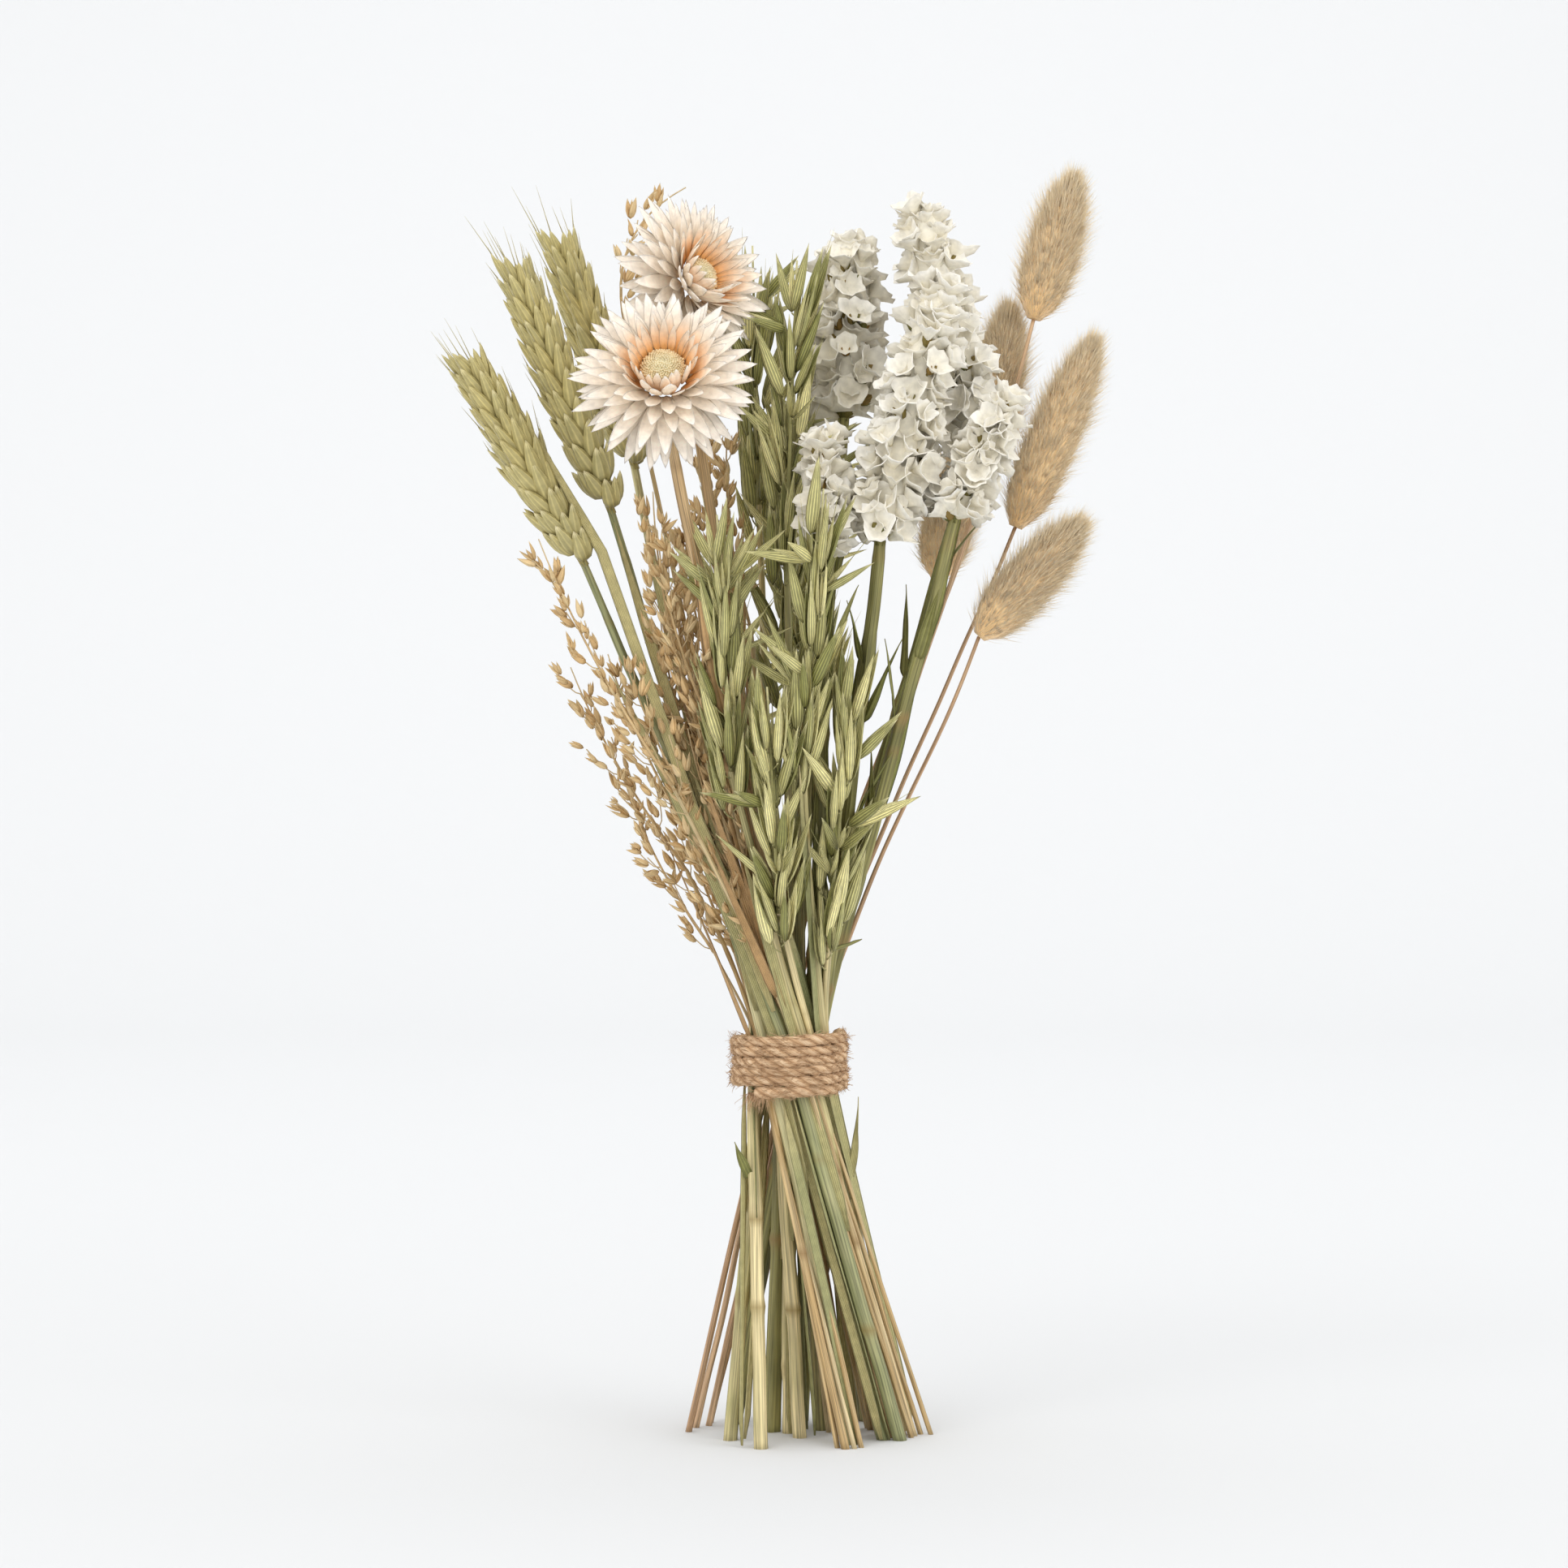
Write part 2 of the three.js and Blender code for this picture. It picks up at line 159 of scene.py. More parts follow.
def frames_towards(axis: Array, back: Array) -> Array:
    """Turns for forms made along +Z with their backs to +Y.

    Formula: z is the axis, y is the part of back that is square to it, and x is y cross z.

    Args:
        axis: where each form's +Z goes, (n, 3).
        back: roughly where each form's +Y goes, (n, 3).

    Returns:
        One 3 by 3 matrix for each form, with x, y and z as its columns, (n, 3, 3).
    """
    z = unit(axis)
    y = square_to(back, z)
    return np.stack([np.cross(y, z), y, z], axis=-1)


def leaning(lean: Array, heading: Array, frame: Array) -> Array:
    """Directions that lean out from a frame's z.

    Formula: sin(lean) cos(heading) x + sin(lean) sin(heading) y + cos(lean) z.

    Args:
        lean: angle from z, in radians, (n,).
        heading: angle round z from x, (n,).
        frame: one frame, (3, 3).

    Returns:
        Unit vectors, (n, 3).
    """
    local = np.stack(
        [np.sin(lean) * np.cos(heading), np.sin(lean) * np.sin(heading), np.cos(lean)], axis=-1
    )
    return local @ frame.T


def outwards(heading: Array, frame: Array) -> Array:
    """Directions square to a frame's z, at angles round it."""
    return leaning(np.full(len(heading), math.pi / 2), heading, frame)


def smooth_path(path: Array, count: int) -> Array:
    """A Catmull-Rom curve through points.

    Formula: between b and c, half of 2b + (c-a)t + (2a-5b+4c-d)t^2 + (3b-a-3c+d)t^3.

    Args:
        path: the points that it passes through, (k, 3).
        count: how many points to give back.

    Returns:
        Points at even shares of the path's steps, (count, 3).
    """
    padded = np.concatenate([[2 * path[0] - path[1]], path, [2 * path[-1] - path[-2]]])
    at = np.linspace(0, len(path) - 1, count)
    step = np.minimum(at.astype(int), len(path) - 2)
    t = (at - step)[:, None]
    a, b, c, d = (padded[step + i] for i in range(4))
    return 0.5 * (
        2 * b
        + (c - a) * t
        + (2 * a - 5 * b + 4 * c - d) * t**2
        + (3 * b - a - 3 * c + d) * t**3
    )


# ------------------------------------------------------------------ surfaces


@dataclass
class Surface:
    """Faces in the making, with a tone for each piece and a mark along each piece."""

    points: Array
    quads: Array
    tris: Array
    quad_uv: Array
    tri_uv: Array
    mark: Array
    tone: Array


def closed_forms(
    rings: Array, start: Array, end: Array, shares: Array, uv_span: tuple[float, float] = (1, 1)
) -> Surface:
    """Closed skins, each over its own rings of points, with a fan of triangles at both ends.

    Args:
        rings: points that run anticlockwise seen from the end, (forms, rings, sides, 3).
        start: the middle of each first fan, (forms, 3).
        end: the middle of each last fan, (forms, 3).
        shares: how far along the start, each ring and the end are, (rings + 2,).
        uv_span: the size of the pattern round and along each form.

    Returns:
        One surface that holds every form.
    """
    forms, count, sides, _ = rings.shape
    size = count * sides + 2
    points = np.concatenate(
        [start[:, None], rings.reshape(forms, count * sides, 3), end[:, None]], axis=1
    )
    i, j = (a.ravel() for a in np.meshgrid(np.arange(count - 1), np.arange(sides), indexing="ij"))
    k = (j + 1) % sides
    low, high = i * sides, (i + 1) * sides
    quads = 1 + np.stack([low + j, low + k, high + k, high + j], -1)
    side = np.arange(sides)
    beside = (side + 1) % sides
    top = 1 + (count - 1) * sides
    tris = np.concatenate(
        [
            np.stack([0 * side, 1 + beside, 1 + side], -1),
            np.stack([0 * side + size - 1, top + side, top + beside], -1),
        ]
    )
    quad_uv = np.stack(
        [
            np.stack([j, j + 1, j + 1, j], -1) / sides,
            np.stack([shares[i + 1], shares[i + 1], shares[i + 2], shares[i + 2]], -1),
        ],
        -1,
    )
    fan_u = np.stack([side + 0.5, side + 1, side], -1) / sides
    fan_v = np.array([[shares[0], shares[1], shares[1]]]).repeat(sides, 0)
    last_v = np.array([[shares[-1], shares[-2], shares[-2]]]).repeat(sides, 0)
    tri_uv = np.concatenate(
        [np.stack([fan_u, fan_v], -1), np.stack([fan_u[:, [0, 2, 1]], last_v], -1)]
    )
    moved = size * np.arange(forms)[:, None, None]
    mark = np.concatenate([shares[:1], shares[1:-1].repeat(sides), shares[-1:]])
    return Surface(
        points.reshape(-1, 3),
        (quads[None] + moved).reshape(-1, 4),
        (tris[None] + moved).reshape(-1, 3),
        np.tile(quad_uv * uv_span, (forms, 1, 1)),
        np.tile(tri_uv * uv_span, (forms, 1, 1)),
        np.tile(mark, forms),
        np.zeros(forms * size),
    )


def joined(surfaces: list[Surface]) -> Surface:
    """One surface from several."""
    offsets = np.cumsum([0] + [len(s.points) for s in surfaces[:-1]])
    return Surface(
        np.concatenate([s.points for s in surfaces]),
        np.concatenate([s.quads + o for s, o in zip(surfaces, offsets)]),
        np.concatenate([s.tris + o for s, o in zip(surfaces, offsets)]),
        np.concatenate([s.quad_uv for s in surfaces]),
        np.concatenate([s.tri_uv for s in surfaces]),
        np.concatenate([s.mark for s in surfaces]),
        np.concatenate([s.tone for s in surfaces]),
    )


def scattered(form: Surface, frames: Array, origins: Array, sizes: Array, tones: Array) -> Surface:
    """Copies of a form.

    Formula: origin + frame (size * point).

    Args:
        form: the shape to copy, made along +Z from the origin.
        frames: each copy's turn, (n, 3, 3).
        origins: where each copy starts, (n, 3).
        sizes: each copy's size along x, y and z, (n, 3).
        tones: each copy's tone, (n,).

    Returns:
        One surface that holds every copy.
    """
    copies, size = len(origins), len(form.points)
    points = np.einsum("nij,vj->nvi", frames * sizes[:, None, :], form.points) + origins[:, None]
    moved = size * np.arange(copies)[:, None, None]
    return Surface(
        points.reshape(-1, 3),
        (form.quads[None] + moved).reshape(-1, 4),
        (form.tris[None] + moved).reshape(-1, 3),
        np.tile(form.quad_uv, (copies, 1, 1)),
        np.tile(form.tri_uv, (copies, 1, 1)),
        np.tile(form.mark, copies),
        np.repeat(tones, size),
    )


def tubes(paths: Array, radii: Array, sides: int, tones: Array) -> Surface:
    """Round tubes along paths.

    Formula: point + radius (cos a n + sin a b), with n and b square to the path.

    Args:
        paths: (tubes, steps, 3).
        radii: (tubes, steps).
        sides: corners in each ring.
        tones: each tube's tone, (tubes,).

    Returns:
        Closed tubes, with a pattern that runs once round and once along each.
    """
    tangent = unit(np.gradient(paths, axis=1))
    n = unit(np.cross(tangent, np.array([0.31, 0.93, 0.17])))
    b = np.cross(tangent, n)
    angle = angles_round(sides)[:, None]
    ring = np.cos(angle) * n[:, :, None] + np.sin(angle) * b[:, :, None]
    rings = paths[:, :, None] + radii[:, :, None, None] * ring
    shares = capped(np.linspace(0, 1, paths.shape[1]))
    made = closed_forms(rings, paths[:, 0], paths[:, -1], shares)
    made.tone = np.repeat(tones, len(made.points) // len(paths))
    return made


def husk_form(
    across: int = 8,
    along: int = 5,
    widest: float = 0.35,
    fullness: float = 0.8,
    inner: float = 0.5,
    bend: float = 0.0,
    curl: float = 0.0,
) -> Surface:
    """A pointed husk, petal or grain along +Z, one long, one wide and one deep.

    Formula: the half width is sin(pi t^k)^fullness, with k set so that it is widest where it
    should be. The outside is half an ellipse, and the inside is the same arc times inner, so that
    1 is a thin cup, 0 is flat and -1 is round. It bends to +Y by bend t^2 and curls back by
    curl t^6.

    Args:
        across: corners round the husk.
        along: rings from end to end.
        widest: share of the length at which it is widest.
        fullness: less than 1 for blunt shoulders, more for a slim point.
        inner: how far the inside follows the outside.
        bend: how far the tip bends to the back, as a share of the length.
        curl: how much the very tip turns outwards.

    Returns:
        The closed form.
    """
    t = (np.arange(along) + 0.6) / (along + 0.35)
    half = np.sin(math.pi * t ** (math.log(0.5) / math.log(widest))) ** fullness
    angle = angles_round(across)
    bow = np.abs(np.sin(angle)) * np.where(np.sin(angle) >= 0, 1.0, inner)
    rings = np.stack(
        [
            0.5 * half[:, None] * np.cos(angle),
            half[:, None] * bow + (bend * t**2 + curl * t**6)[:, None],
            t[:, None] + 0 * angle,
        ],
        -1,
    )
    start = np.array([[0.0, 0.0, 0.0]])
    end = np.array([[0.0, bend + curl, 1.0]])
    return closed_forms(rings[None], start, end, capped(t))


# ------------------------------------------------------------------ colour and nodes


def linear(colour: str) -> tuple[float, float, float, float]:
    """An sRGB hex colour as linear RGBA."""
    parts = [int(colour[i : i + 2], 16) / 255 for i in (1, 3, 5)]
    return (*(p / 12.92 if p <= 0.04045 else ((p + 0.055) / 1.055) ** 2.4 for p in parts), 1.0)


def put(
    tree: Tree, kind: str, settings: dict | None = None, links: dict | None = None
) -> bpy.types.Node:
    """Adds a node.

    Args:
        tree: the tree that it goes in.
        kind: the node's type, without the words ShaderNode.
        settings: a value for each input, named with a capital or by its number, and for each of the
            node's own settings. The colours of a ramp are stops, a list of places and colours.
        links: the output that each input takes.

    Returns:
        The node.
    """
    node = tree.nodes.new("ShaderNode" + kind)
    for key, value in (settings or {}).items():
        if key == "stops":
            elements = node.color_ramp.elements
            elements.remove(elements[1])
            elements[0].position, elements[0].color = value[0][0], linear(value[0][1])
            for place, colour in value[1:]:
                elements.new(place).color = linear(colour)
        elif isinstance(key, int) or key[0].isupper():
            node.inputs[key].default_value = value
        else:
            setattr(node, key, value)
    for key, socket in (links or {}).items():
        tree.links.new(socket, node.inputs[key])
    return node


def ranged(
    tree: Tree, value: Socket, span: tuple[float, float], to: tuple[float, float]
) -> Socket:
    """A value moved, and clamped, from one span to another."""
    names = ("From Min", "From Max", "To Min", "To Max")
    return put(tree, "MapRange", dict(zip(names, span + to)), {"Value": value}).outputs[0]


def reckoned(tree: Tree, operation: str, value: Socket, other: Socket | float) -> Socket:
    """A value and a number or another value, put through one operation."""
    if isinstance(other, Socket):
        return put(tree, "Math", {"operation": operation}, {0: value, 1: other}).outputs[0]
    return put(tree, "Math", {"operation": operation, 1: other}, {0: value}).outputs[0]


def noise(tree: Tree, place: Socket, scale: float, detail: float) -> Socket:
    """Soft noise at a place."""
    settings = {"Scale": scale, "Detail": detail}
    return put(tree, "TexNoise", settings, {"Vector": place}).outputs[0]


def attribute(tree: Tree, name: str) -> Socket:
    """One of the surface's own numbers, its mark or its tone."""
    return put(tree, "Attribute", {"attribute_name": name}).outputs["Fac"]


def ramp(tree: Tree, value: Socket, stops: list[tuple[float, str]]) -> Socket:
    """A colour that runs through stops as a value goes from 0 to 1."""
    return put(tree, "ValToRGB", {"stops": stops}, {"Fac": value}).outputs[0]


def tinted(tree: Tree, colour: Socket, other: str, share: Socket) -> Socket:
    """A colour mixed with another by a share."""
    settings = {"data_type": "RGBA", 7: linear(other)}
    return put(tree, "Mix", settings, {0: share, 6: colour}).outputs[2]


def shaded(tree: Tree, colour: Socket, factor: Socket) -> Socket:
    """A colour multiplied by a factor."""
    settings = {"data_type": "RGBA", "blend_type": "MULTIPLY", 0: 1.0}
    return put(tree, "Mix", settings, {6: colour, 7: factor}).outputs[2]


def dress(
    tree: Tree, colour: Socket, height: Socket, relief: tuple[float, float], roughness: float
) -> None:
    """Gives a material its colour, its relief and its roughness.

    Args:
        tree: the material's tree.
        colour: its colour.
        height: what its relief follows.
        relief: the relief's strength and its depth in millimetres.
        roughness: from 0 for polished to 1 for matte.
    """
    settings = {"Strength": relief[0], "Distance": relief[1] * MM}
    bump = put(tree, "Bump", settings, {"Height": height})
    shader = tree.nodes["Principled BSDF"]
    tree.links.new(colour, shader.inputs["Base Color"])
    tree.links.new(bump.outputs[0], shader.inputs["Normal"])
    shader.inputs["Roughness"].default_value = roughness


def blank_material(name: str) -> tuple[bpy.types.Material, Tree, bpy.types.Node]:
    """A new material, its tree and its shader."""
    material = bpy.data.materials.new(name)
    material.use_nodes = True
    tree = material.node_tree
    return material, tree, tree.nodes["Principled BSDF"]


FIBRE_MM = 30.0  # how long a straw's fibres run
PATCH_MM = (8.0, 22.0)  # a weathered patch, round and along


@dataclass(frozen=True)
class Straw:
    """Dry stalk. Long fibres give it fine streaks and ridges, and its knots are darker."""

    name: str
    pale: str
    deep: str
    knot: str
    streak_mm: float = 0.5
    roughness: float = 0.56

    def material(self) -> bpy.types.Material:
        """The finished material. Its pattern is in millimetres, round the stalk and along it."""
        material, tree, _ = blank_material(self.name)
        uv = put(tree, "TexCoord").outputs["UV"]
        fibres = put(
            tree, "Mapping", {"Scale": (1 / self.streak_mm, 1 / FIBRE_MM, 1)}, {"Vector": uv}
        )
        streak = noise(tree, fibres.outputs[0], 1.0, 3.0)
        patches = put(
            tree, "Mapping", {"Scale": (1 / PATCH_MM[0], 1 / PATCH_MM[1], 1)}, {"Vector": uv}
        )
        patch = noise(tree, patches.outputs[0], 1.0, 2.0)
        age = ranged(tree, patch, (0.3, 0.7), (-0.28, 0.28))
        aged = put(
            tree,
            "Math",
            {"operation": "ADD", "use_clamp": True},
            {0: attribute(tree, "tone"), 1: age},
        )
        body = ramp(tree, aged.outputs[0], [(0.0, self.pale), (1.0, self.deep)])
        streaked = shaded(tree, body, ranged(tree, streak, (0.36, 0.64), (0.5, 1.16)))
        knotted = tinted(tree, streaked, self.knot, attribute(tree, "mark"))
        dress(tree, knotted, streak, (0.55, 0.25), self.roughness)
        return material


BLOTCH_SCALE = 420.0  # blotches of about 2 mm


@dataclass(frozen=True)
class Husk:
    """Dry chaff or a papery petal.

    Its veins run from root to tip, and its colour changes along it.
    """

    name: str
    root: str
    body: str
    tip: str
    other: str  # the colour of the most changed pieces
    veins: int  # round the whole piece
    vein_light: float = 1.18
    vein_depth_mm: float = 0.12
    roughness: float = 0.6
    gloss: float = 0.5
    sheen: float = 0.0
    reach: tuple[float, float] = (0.3, 0.8)  # where the body's colour starts and ends
    inside: str = ""  # the colour of the face that looks inwards, near its root

    def material(self) -> bpy.types.Material:
        """The finished material, patterned round and along each piece."""
        material, tree, shader = blank_material(self.name)
        uv = put(tree, "TexCoord")
        mark, tone = attribute(tree, "mark"), attribute(tree, "tone")
        start, end = self.reach
        stops = [(0.0, self.root), (start, self.body), (end, self.body), (1.0, self.tip)]
        colour = tinted(tree, ramp(tree, mark, stops), self.other, tone)
        across = put(tree, "SeparateXYZ", {}, {0: uv.outputs["UV"]}).outputs[0]
        wave, side = (
            put(
                tree,
                "Math",
                {"operation": "SINE"},
                {0: reckoned(tree, "MULTIPLY", across, 2 * math.pi * turns)},
            ).outputs[0]
            for turns in (self.veins, 1)
        )
        if self.inside:
            inner = ranged(tree, side, (0.2, -0.2), (0.0, 1.0))
            near_root = ranged(tree, mark, (0.2, 0.8), (1.0, 0.0))
            share = reckoned(tree, "MULTIPLY", inner, near_root)
            colour = tinted(tree, colour, self.inside, share)
        veined = shaded(tree, colour, ranged(tree, wave, (0.0, 1.0), (1.0, self.vein_light)))
        speck = noise(tree, uv.outputs["Object"], BLOTCH_SCALE, 2.0)
        mottled = shaded(tree, veined, ranged(tree, speck, (0.3, 0.7), (0.86, 1.08)))
        dress(tree, mottled, wave, (0.6, self.vein_depth_mm), self.roughness)
        shader.inputs["Specular IOR Level"].default_value = self.gloss
        shader.inputs["Sheen Weight"].default_value = self.sheen
        return material


@dataclass(frozen=True)
class Jute:
    """Spun jute. Coarse fibres lie along each ply, with painted shade darkening the gaps between the
    plies and a painted highlight on their crowns.
    """

    name: str
    pale: str
    # The deepest colour is painted shade between the plies; the brightest is a painted highlight on
    # their crowns.
    deep: str
    crown_highlight: str
    fibre_mm: float = 0.25
    roughness: float = 0.85

    def material(self) -> bpy.types.Material:
        """The finished material. Its pattern is in millimetres, round the twine and along it."""
        material, tree, _ = blank_material(self.name)
        uv = put(tree, "TexCoord").outputs["UV"]
        slant = {"Rotation": (0, 0, 0.5), "Scale": (1 / self.fibre_mm, 1 / 4, 1)}
        slanted = put(tree, "Mapping", slant, {"Vector": uv}).outputs[0]
        fibre = noise(tree, slanted, 1.0, 4.0)
        # Painted shade and highlight: the mark darkens the grooves between plies and lightens the
        # crowns of the plies.
        crown = ranged(tree, attribute(tree, "mark"), (0.0, 1.0), (0.55, 1.35))
        stops = [(0.14, self.deep), (0.48, self.pale), (0.8, self.crown_highlight)]
        colour = ramp(tree, reckoned(tree, "MULTIPLY", fibre, crown), stops)
        dress(tree, colour, fibre, (0.8, 0.3), self.roughness)
        return material


# Wheat straw keeps some of its grey-green bloom; oat straw dries yellower; the woody stems of
# strawflowers dry tan, and the winged stems of statice stay dark olive.
STRAWS = {
    Kind.WHEAT: Straw("dried_wheat_straw", "#dacf9c", "#949668", "#8a7640"),
    Kind.OAT: Straw("dried_oat_straw", "#ead8a4", "#959258", "#8a7238"),
    Kind.STATICE: Straw("dried_statice_stem", "#a39c62", "#55582a", "#9a7a48", 0.6, 0.62),
    Kind.STRAWFLOWER: Straw("dried_strawflower_stem", "#dcbd90", "#a07c48", "#6f4e26", 0.4, 0.66),
    Kind.BUNNY_TAIL: Straw("dried_bunny_tail_stem", "#dcb992", "#b08862", "#7c5a34", 0.3),
    Kind.GRASS: Straw("dried_grass_stalk", "#e8d3a4", "#c0a06c", "#8a6a3c", 0.3),
}
WHEAT_CHAFF = Husk(
    "dried_wheat_chaff", "#6f632c", "#b0a672", "#e2d8ae", "#beb074", 8, 1.35, 0.12, 0.5
)
OAT_CHAFF = Husk("dried_oat_chaff", "#605e2c", "#807f48", "#e0d8a8", "#ccc48c", 13, 2.2, 0.2, 0.5)
GRASS_CHAFF = Husk("dried_grass_chaff", "#a67e48", "#d2ae78", "#eedab0", "#e2c898", 5, 1.12)
CALYX = Husk(
    "papery_statice_calyx", "#d8cba4", "#f4efe0", "#f6f2e8", "#ece5d2", 8, 1.0, 0.08, 0.9,
    gloss=0.05, reach=(0.2, 0.45),
)
CALYX_BASE = Husk("statice_bract", "#5f5a22", "#8a6c30", "#a98446", "#66682e", 5, 1.1)
BRACT = Husk(
    "papery_strawflower_bract", "#ffdcb0", "#fff2e0", "#fff8ee", "#fff6ea", 9, 1.03, 0.05, 0.5,
    gloss=0.2, reach=(0.3, 0.6),
)
INNER_BRACT = Husk(
    "strawflower_inner_bract", "#ffd0a0", "#fff0dc", "#fff9ee", "#fff1de", 9, 1.03, 0.05, 0.6,
    gloss=0.1, inside="#ffbe76",
)
FLORET = Husk(
    "strawflower_floret", "#dcc694", "#e6dab0", "#efe8ca", "#edcf9f", 4, 1.03, 0.05, 0.7
)
TAIL_HAIR = Husk(
    "bunny_tail_hair", "#ffd092", "#ffe2b0", "#fff4da", "#ffeac0", 3, 1.0, 0.02, 0.8, gloss=0.2,
    sheen=0.8, reach=(0.2, 0.5),
)
TAIL_CORE = Husk(
    "bunny_tail_down", "#ffd294", "#ffe0ac", "#ffe8be", "#ffd8a0", 40, 1.03, 0.1, 0.9, gloss=0.1,
    sheen=0.6,
)
DRY_LEAF = Husk("dried_strawflower_leaf", "#9a7440", "#b48c5a", "#9c744a", "#cba877", 13, 1.3, 0.2)
GREEN_LEAF = Husk("dried_statice_leaf", "#60602c", "#74773c", "#9c9650", "#918c54", 7, 1.4, 0.2)
OAT_LEAF = Husk("dried_oat_leaf", "#767a4c", "#8c9062", "#cbbd8a", "#c0b27c", 15, 1.5, 0.14)
# The jute's deep colour is painted shade between the plies, and its brightest a painted highlight on
# their crowns.
TWINE = Jute("spun_jute", "#d0a87e", "#7a5536", "#ecd0ac")


# ------------------------------------------------------------------ objects


@cache
def material_of(finish: Straw | Husk | Jute) -> bpy.types.Material:
    """The one material that is made from a finish."""
    return finish.material()


def make_piece(name: str, surface: Surface, finish: Straw | Husk | Jute, nodes: list[str]) -> None:
    """Makes an object from a surface, dresses it, and puts it in place of its solids.

    Args:
        name: the object's name.
        surface: its faces.
        finish: what it is made of.
        nodes: the solids that it stands for.
    """
    mesh = bpy.data.meshes.new(name)
    loops = np.concatenate([surface.quads.ravel(), surface.tris.ravel()]).astype(np.int32)
    quads, tris = len(surface.quads), len(surface.tris)
    starts = np.concatenate([4 * np.arange(quads), 4 * quads + 3 * np.arange(tris)])
    mesh.vertices.add(len(surface.points))
    mesh.vertices.foreach_set("co", surface.points.astype(np.float32).ravel())
    mesh.loops.add(len(loops))
    mesh.loops.foreach_set("vertex_index", loops)
    mesh.polygons.add(quads + tris)
    mesh.polygons.foreach_set("loop_start", starts.astype(np.int32))
    mesh.polygons.foreach_set("use_smooth", np.ones(quads + tris, bool))
    mesh.update(calc_edges=True)
    uv = np.concatenate([surface.quad_uv.reshape(-1, 2), surface.tri_uv.reshape(-1, 2)])
    mesh.uv_layers.new(name="UVMap").uv.foreach_set("vector", uv.astype(np.float32).ravel())
    for channel in ("mark", "tone"):
        values = np.clip(getattr(surface, channel), 0, 1).astype(np.float32)
        mesh.attributes.new(channel, "FLOAT", "POINT").data.foreach_set("value", values)
    mesh.validate()
    mesh.materials.append(material_of(finish))
    piece = placed(name, mesh)
    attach(piece, "root")
    if nodes:
        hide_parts(*nodes)
    LOG.info("%s: %d faces", name, quads + tris)


def placed(name: str, data: bpy.types.ID) -> bpy.types.Object:
    """A new object in the scene."""
    made = bpy.data.objects.new(name, data)
    bpy.context.scene.collection.objects.link(made)
    return made


def points_of(node: bpy.types.Object) -> Array:
    """A solid's points, (n, 3)."""
    found = np.zeros(3 * len(node.data.vertices), np.float32)
    node.data.vertices.foreach_get("co", found)
    return found.reshape(-1, 3).astype(float)


@dataclass
class Spine:
    """The middle line of a stalk, and its radius at each point."""

    path: Array
    radii: Array

    @classmethod
    def inside(cls, node: bpy.types.Object) -> "Spine":
        """The spine of a solid that is made of level rings."""
        points = points_of(node)
        levels = np.round(points[:, 2], 5)
        path, radii = [], []
        for level in np.unique(levels):
            ring = points[levels == level]
            low, high = ring.min(0), ring.max(0)
            middle = (low + high) / 2
            path.append(middle)
            radii.append(np.linalg.norm(ring - middle, axis=1).max())
        return cls(np.array(path), np.array(radii))

    def at(self, height: float | Array) -> Array:
        """The spine's point at a height, or its points at several, (n, 3)."""
        levels = self.path[:, 2]
        return np.stack([np.interp(height, levels, self.path[:, i]) for i in range(3)], -1)


@dataclass
class Head:
    """Where a plant's head is: its start, its direction, its length and its own frame."""

    base: Array
    axis: Array
    length: float
    bow_mm: tuple[float, float, float] = (0.0, 0.0, 0.0)

    @classmethod
    def over(cls, spine: Spine, node: bpy.types.Object) -> "Head":
        """The head that starts on top of a spine and fills a solid."""
        base = spine.path[-1]
        points = points_of(node)
        rough = unit(points.mean(0) - base)
        reach = (points - base) @ rough
        tip = points[reach > reach.max() - 0.6 * MM].mean(0)
        return cls(base, unit(tip - base), float(np.linalg.norm(tip - base)))

    @property
    def frame(self) -> Array:
        """The head's frame: z along it, y as near to the front as it can be."""
        return frames_towards(self.axis[None], FRONT[None])[0]

    def along(self, share: Array) -> Array:
        """Points at shares of the head's length, (n, 3).

        Formula: base + s l axis + 4 s (1 - s) bow, with the bow left out below the head.
        """
        s = np.asarray(share)[..., None]
        bend = 4 * np.clip(s, 0, 1) * (1 - np.clip(s, 0, 1)) * np.array(self.bow_mm) * MM
        return self.base + s * self.length * self.axis + bend

    def stalk(
        self, end: float, count: int, thick_mm: tuple[float, float], sides: int, tone: float
    ) -> Surface:
        """The stalk inside the head, from just under it to a share of its length.

        Args:
            end: the share at which it ends.
            count: how many rings it has.
            thick_mm: its radius at its start and at its end.
            sides: corners in each ring.
            tone: its tone.

        Returns:
            The closed stalk.
        """
        path = self.along(np.linspace(-0.02, end, count))
        radii = np.linspace(*thick_mm, count) * MM
        return tubes(path[None], radii[None], sides, np.array([tone]))


# ------------------------------------------------------------------ stems


@dataclass
class StalkStyle:
    """How the stalks of a kind of plant are ribbed and jointed."""

    ribs: int
    rib_depth: float
    knots: tuple[float, ...] = ()  # heights of the joints, in mm
    hollow: bool = False
    sway_mm: float = 0.3


STALKS = {
    Kind.WHEAT: StalkStyle(11, 0.035, (48, 196), True),
    Kind.OAT: StalkStyle(9, 0.04, (30, 84, 176), True),
    Kind.STATICE: StalkStyle(4, 0.16, (62, 150, 214)),
    Kind.STRAWFLOWER: StalkStyle(7, 0.07, (40, 92, 160, 232)),
    Kind.BUNNY_TAIL: StalkStyle(5, 0.03),
    Kind.GRASS: StalkStyle(6, 0.04, (70, 140)),
}


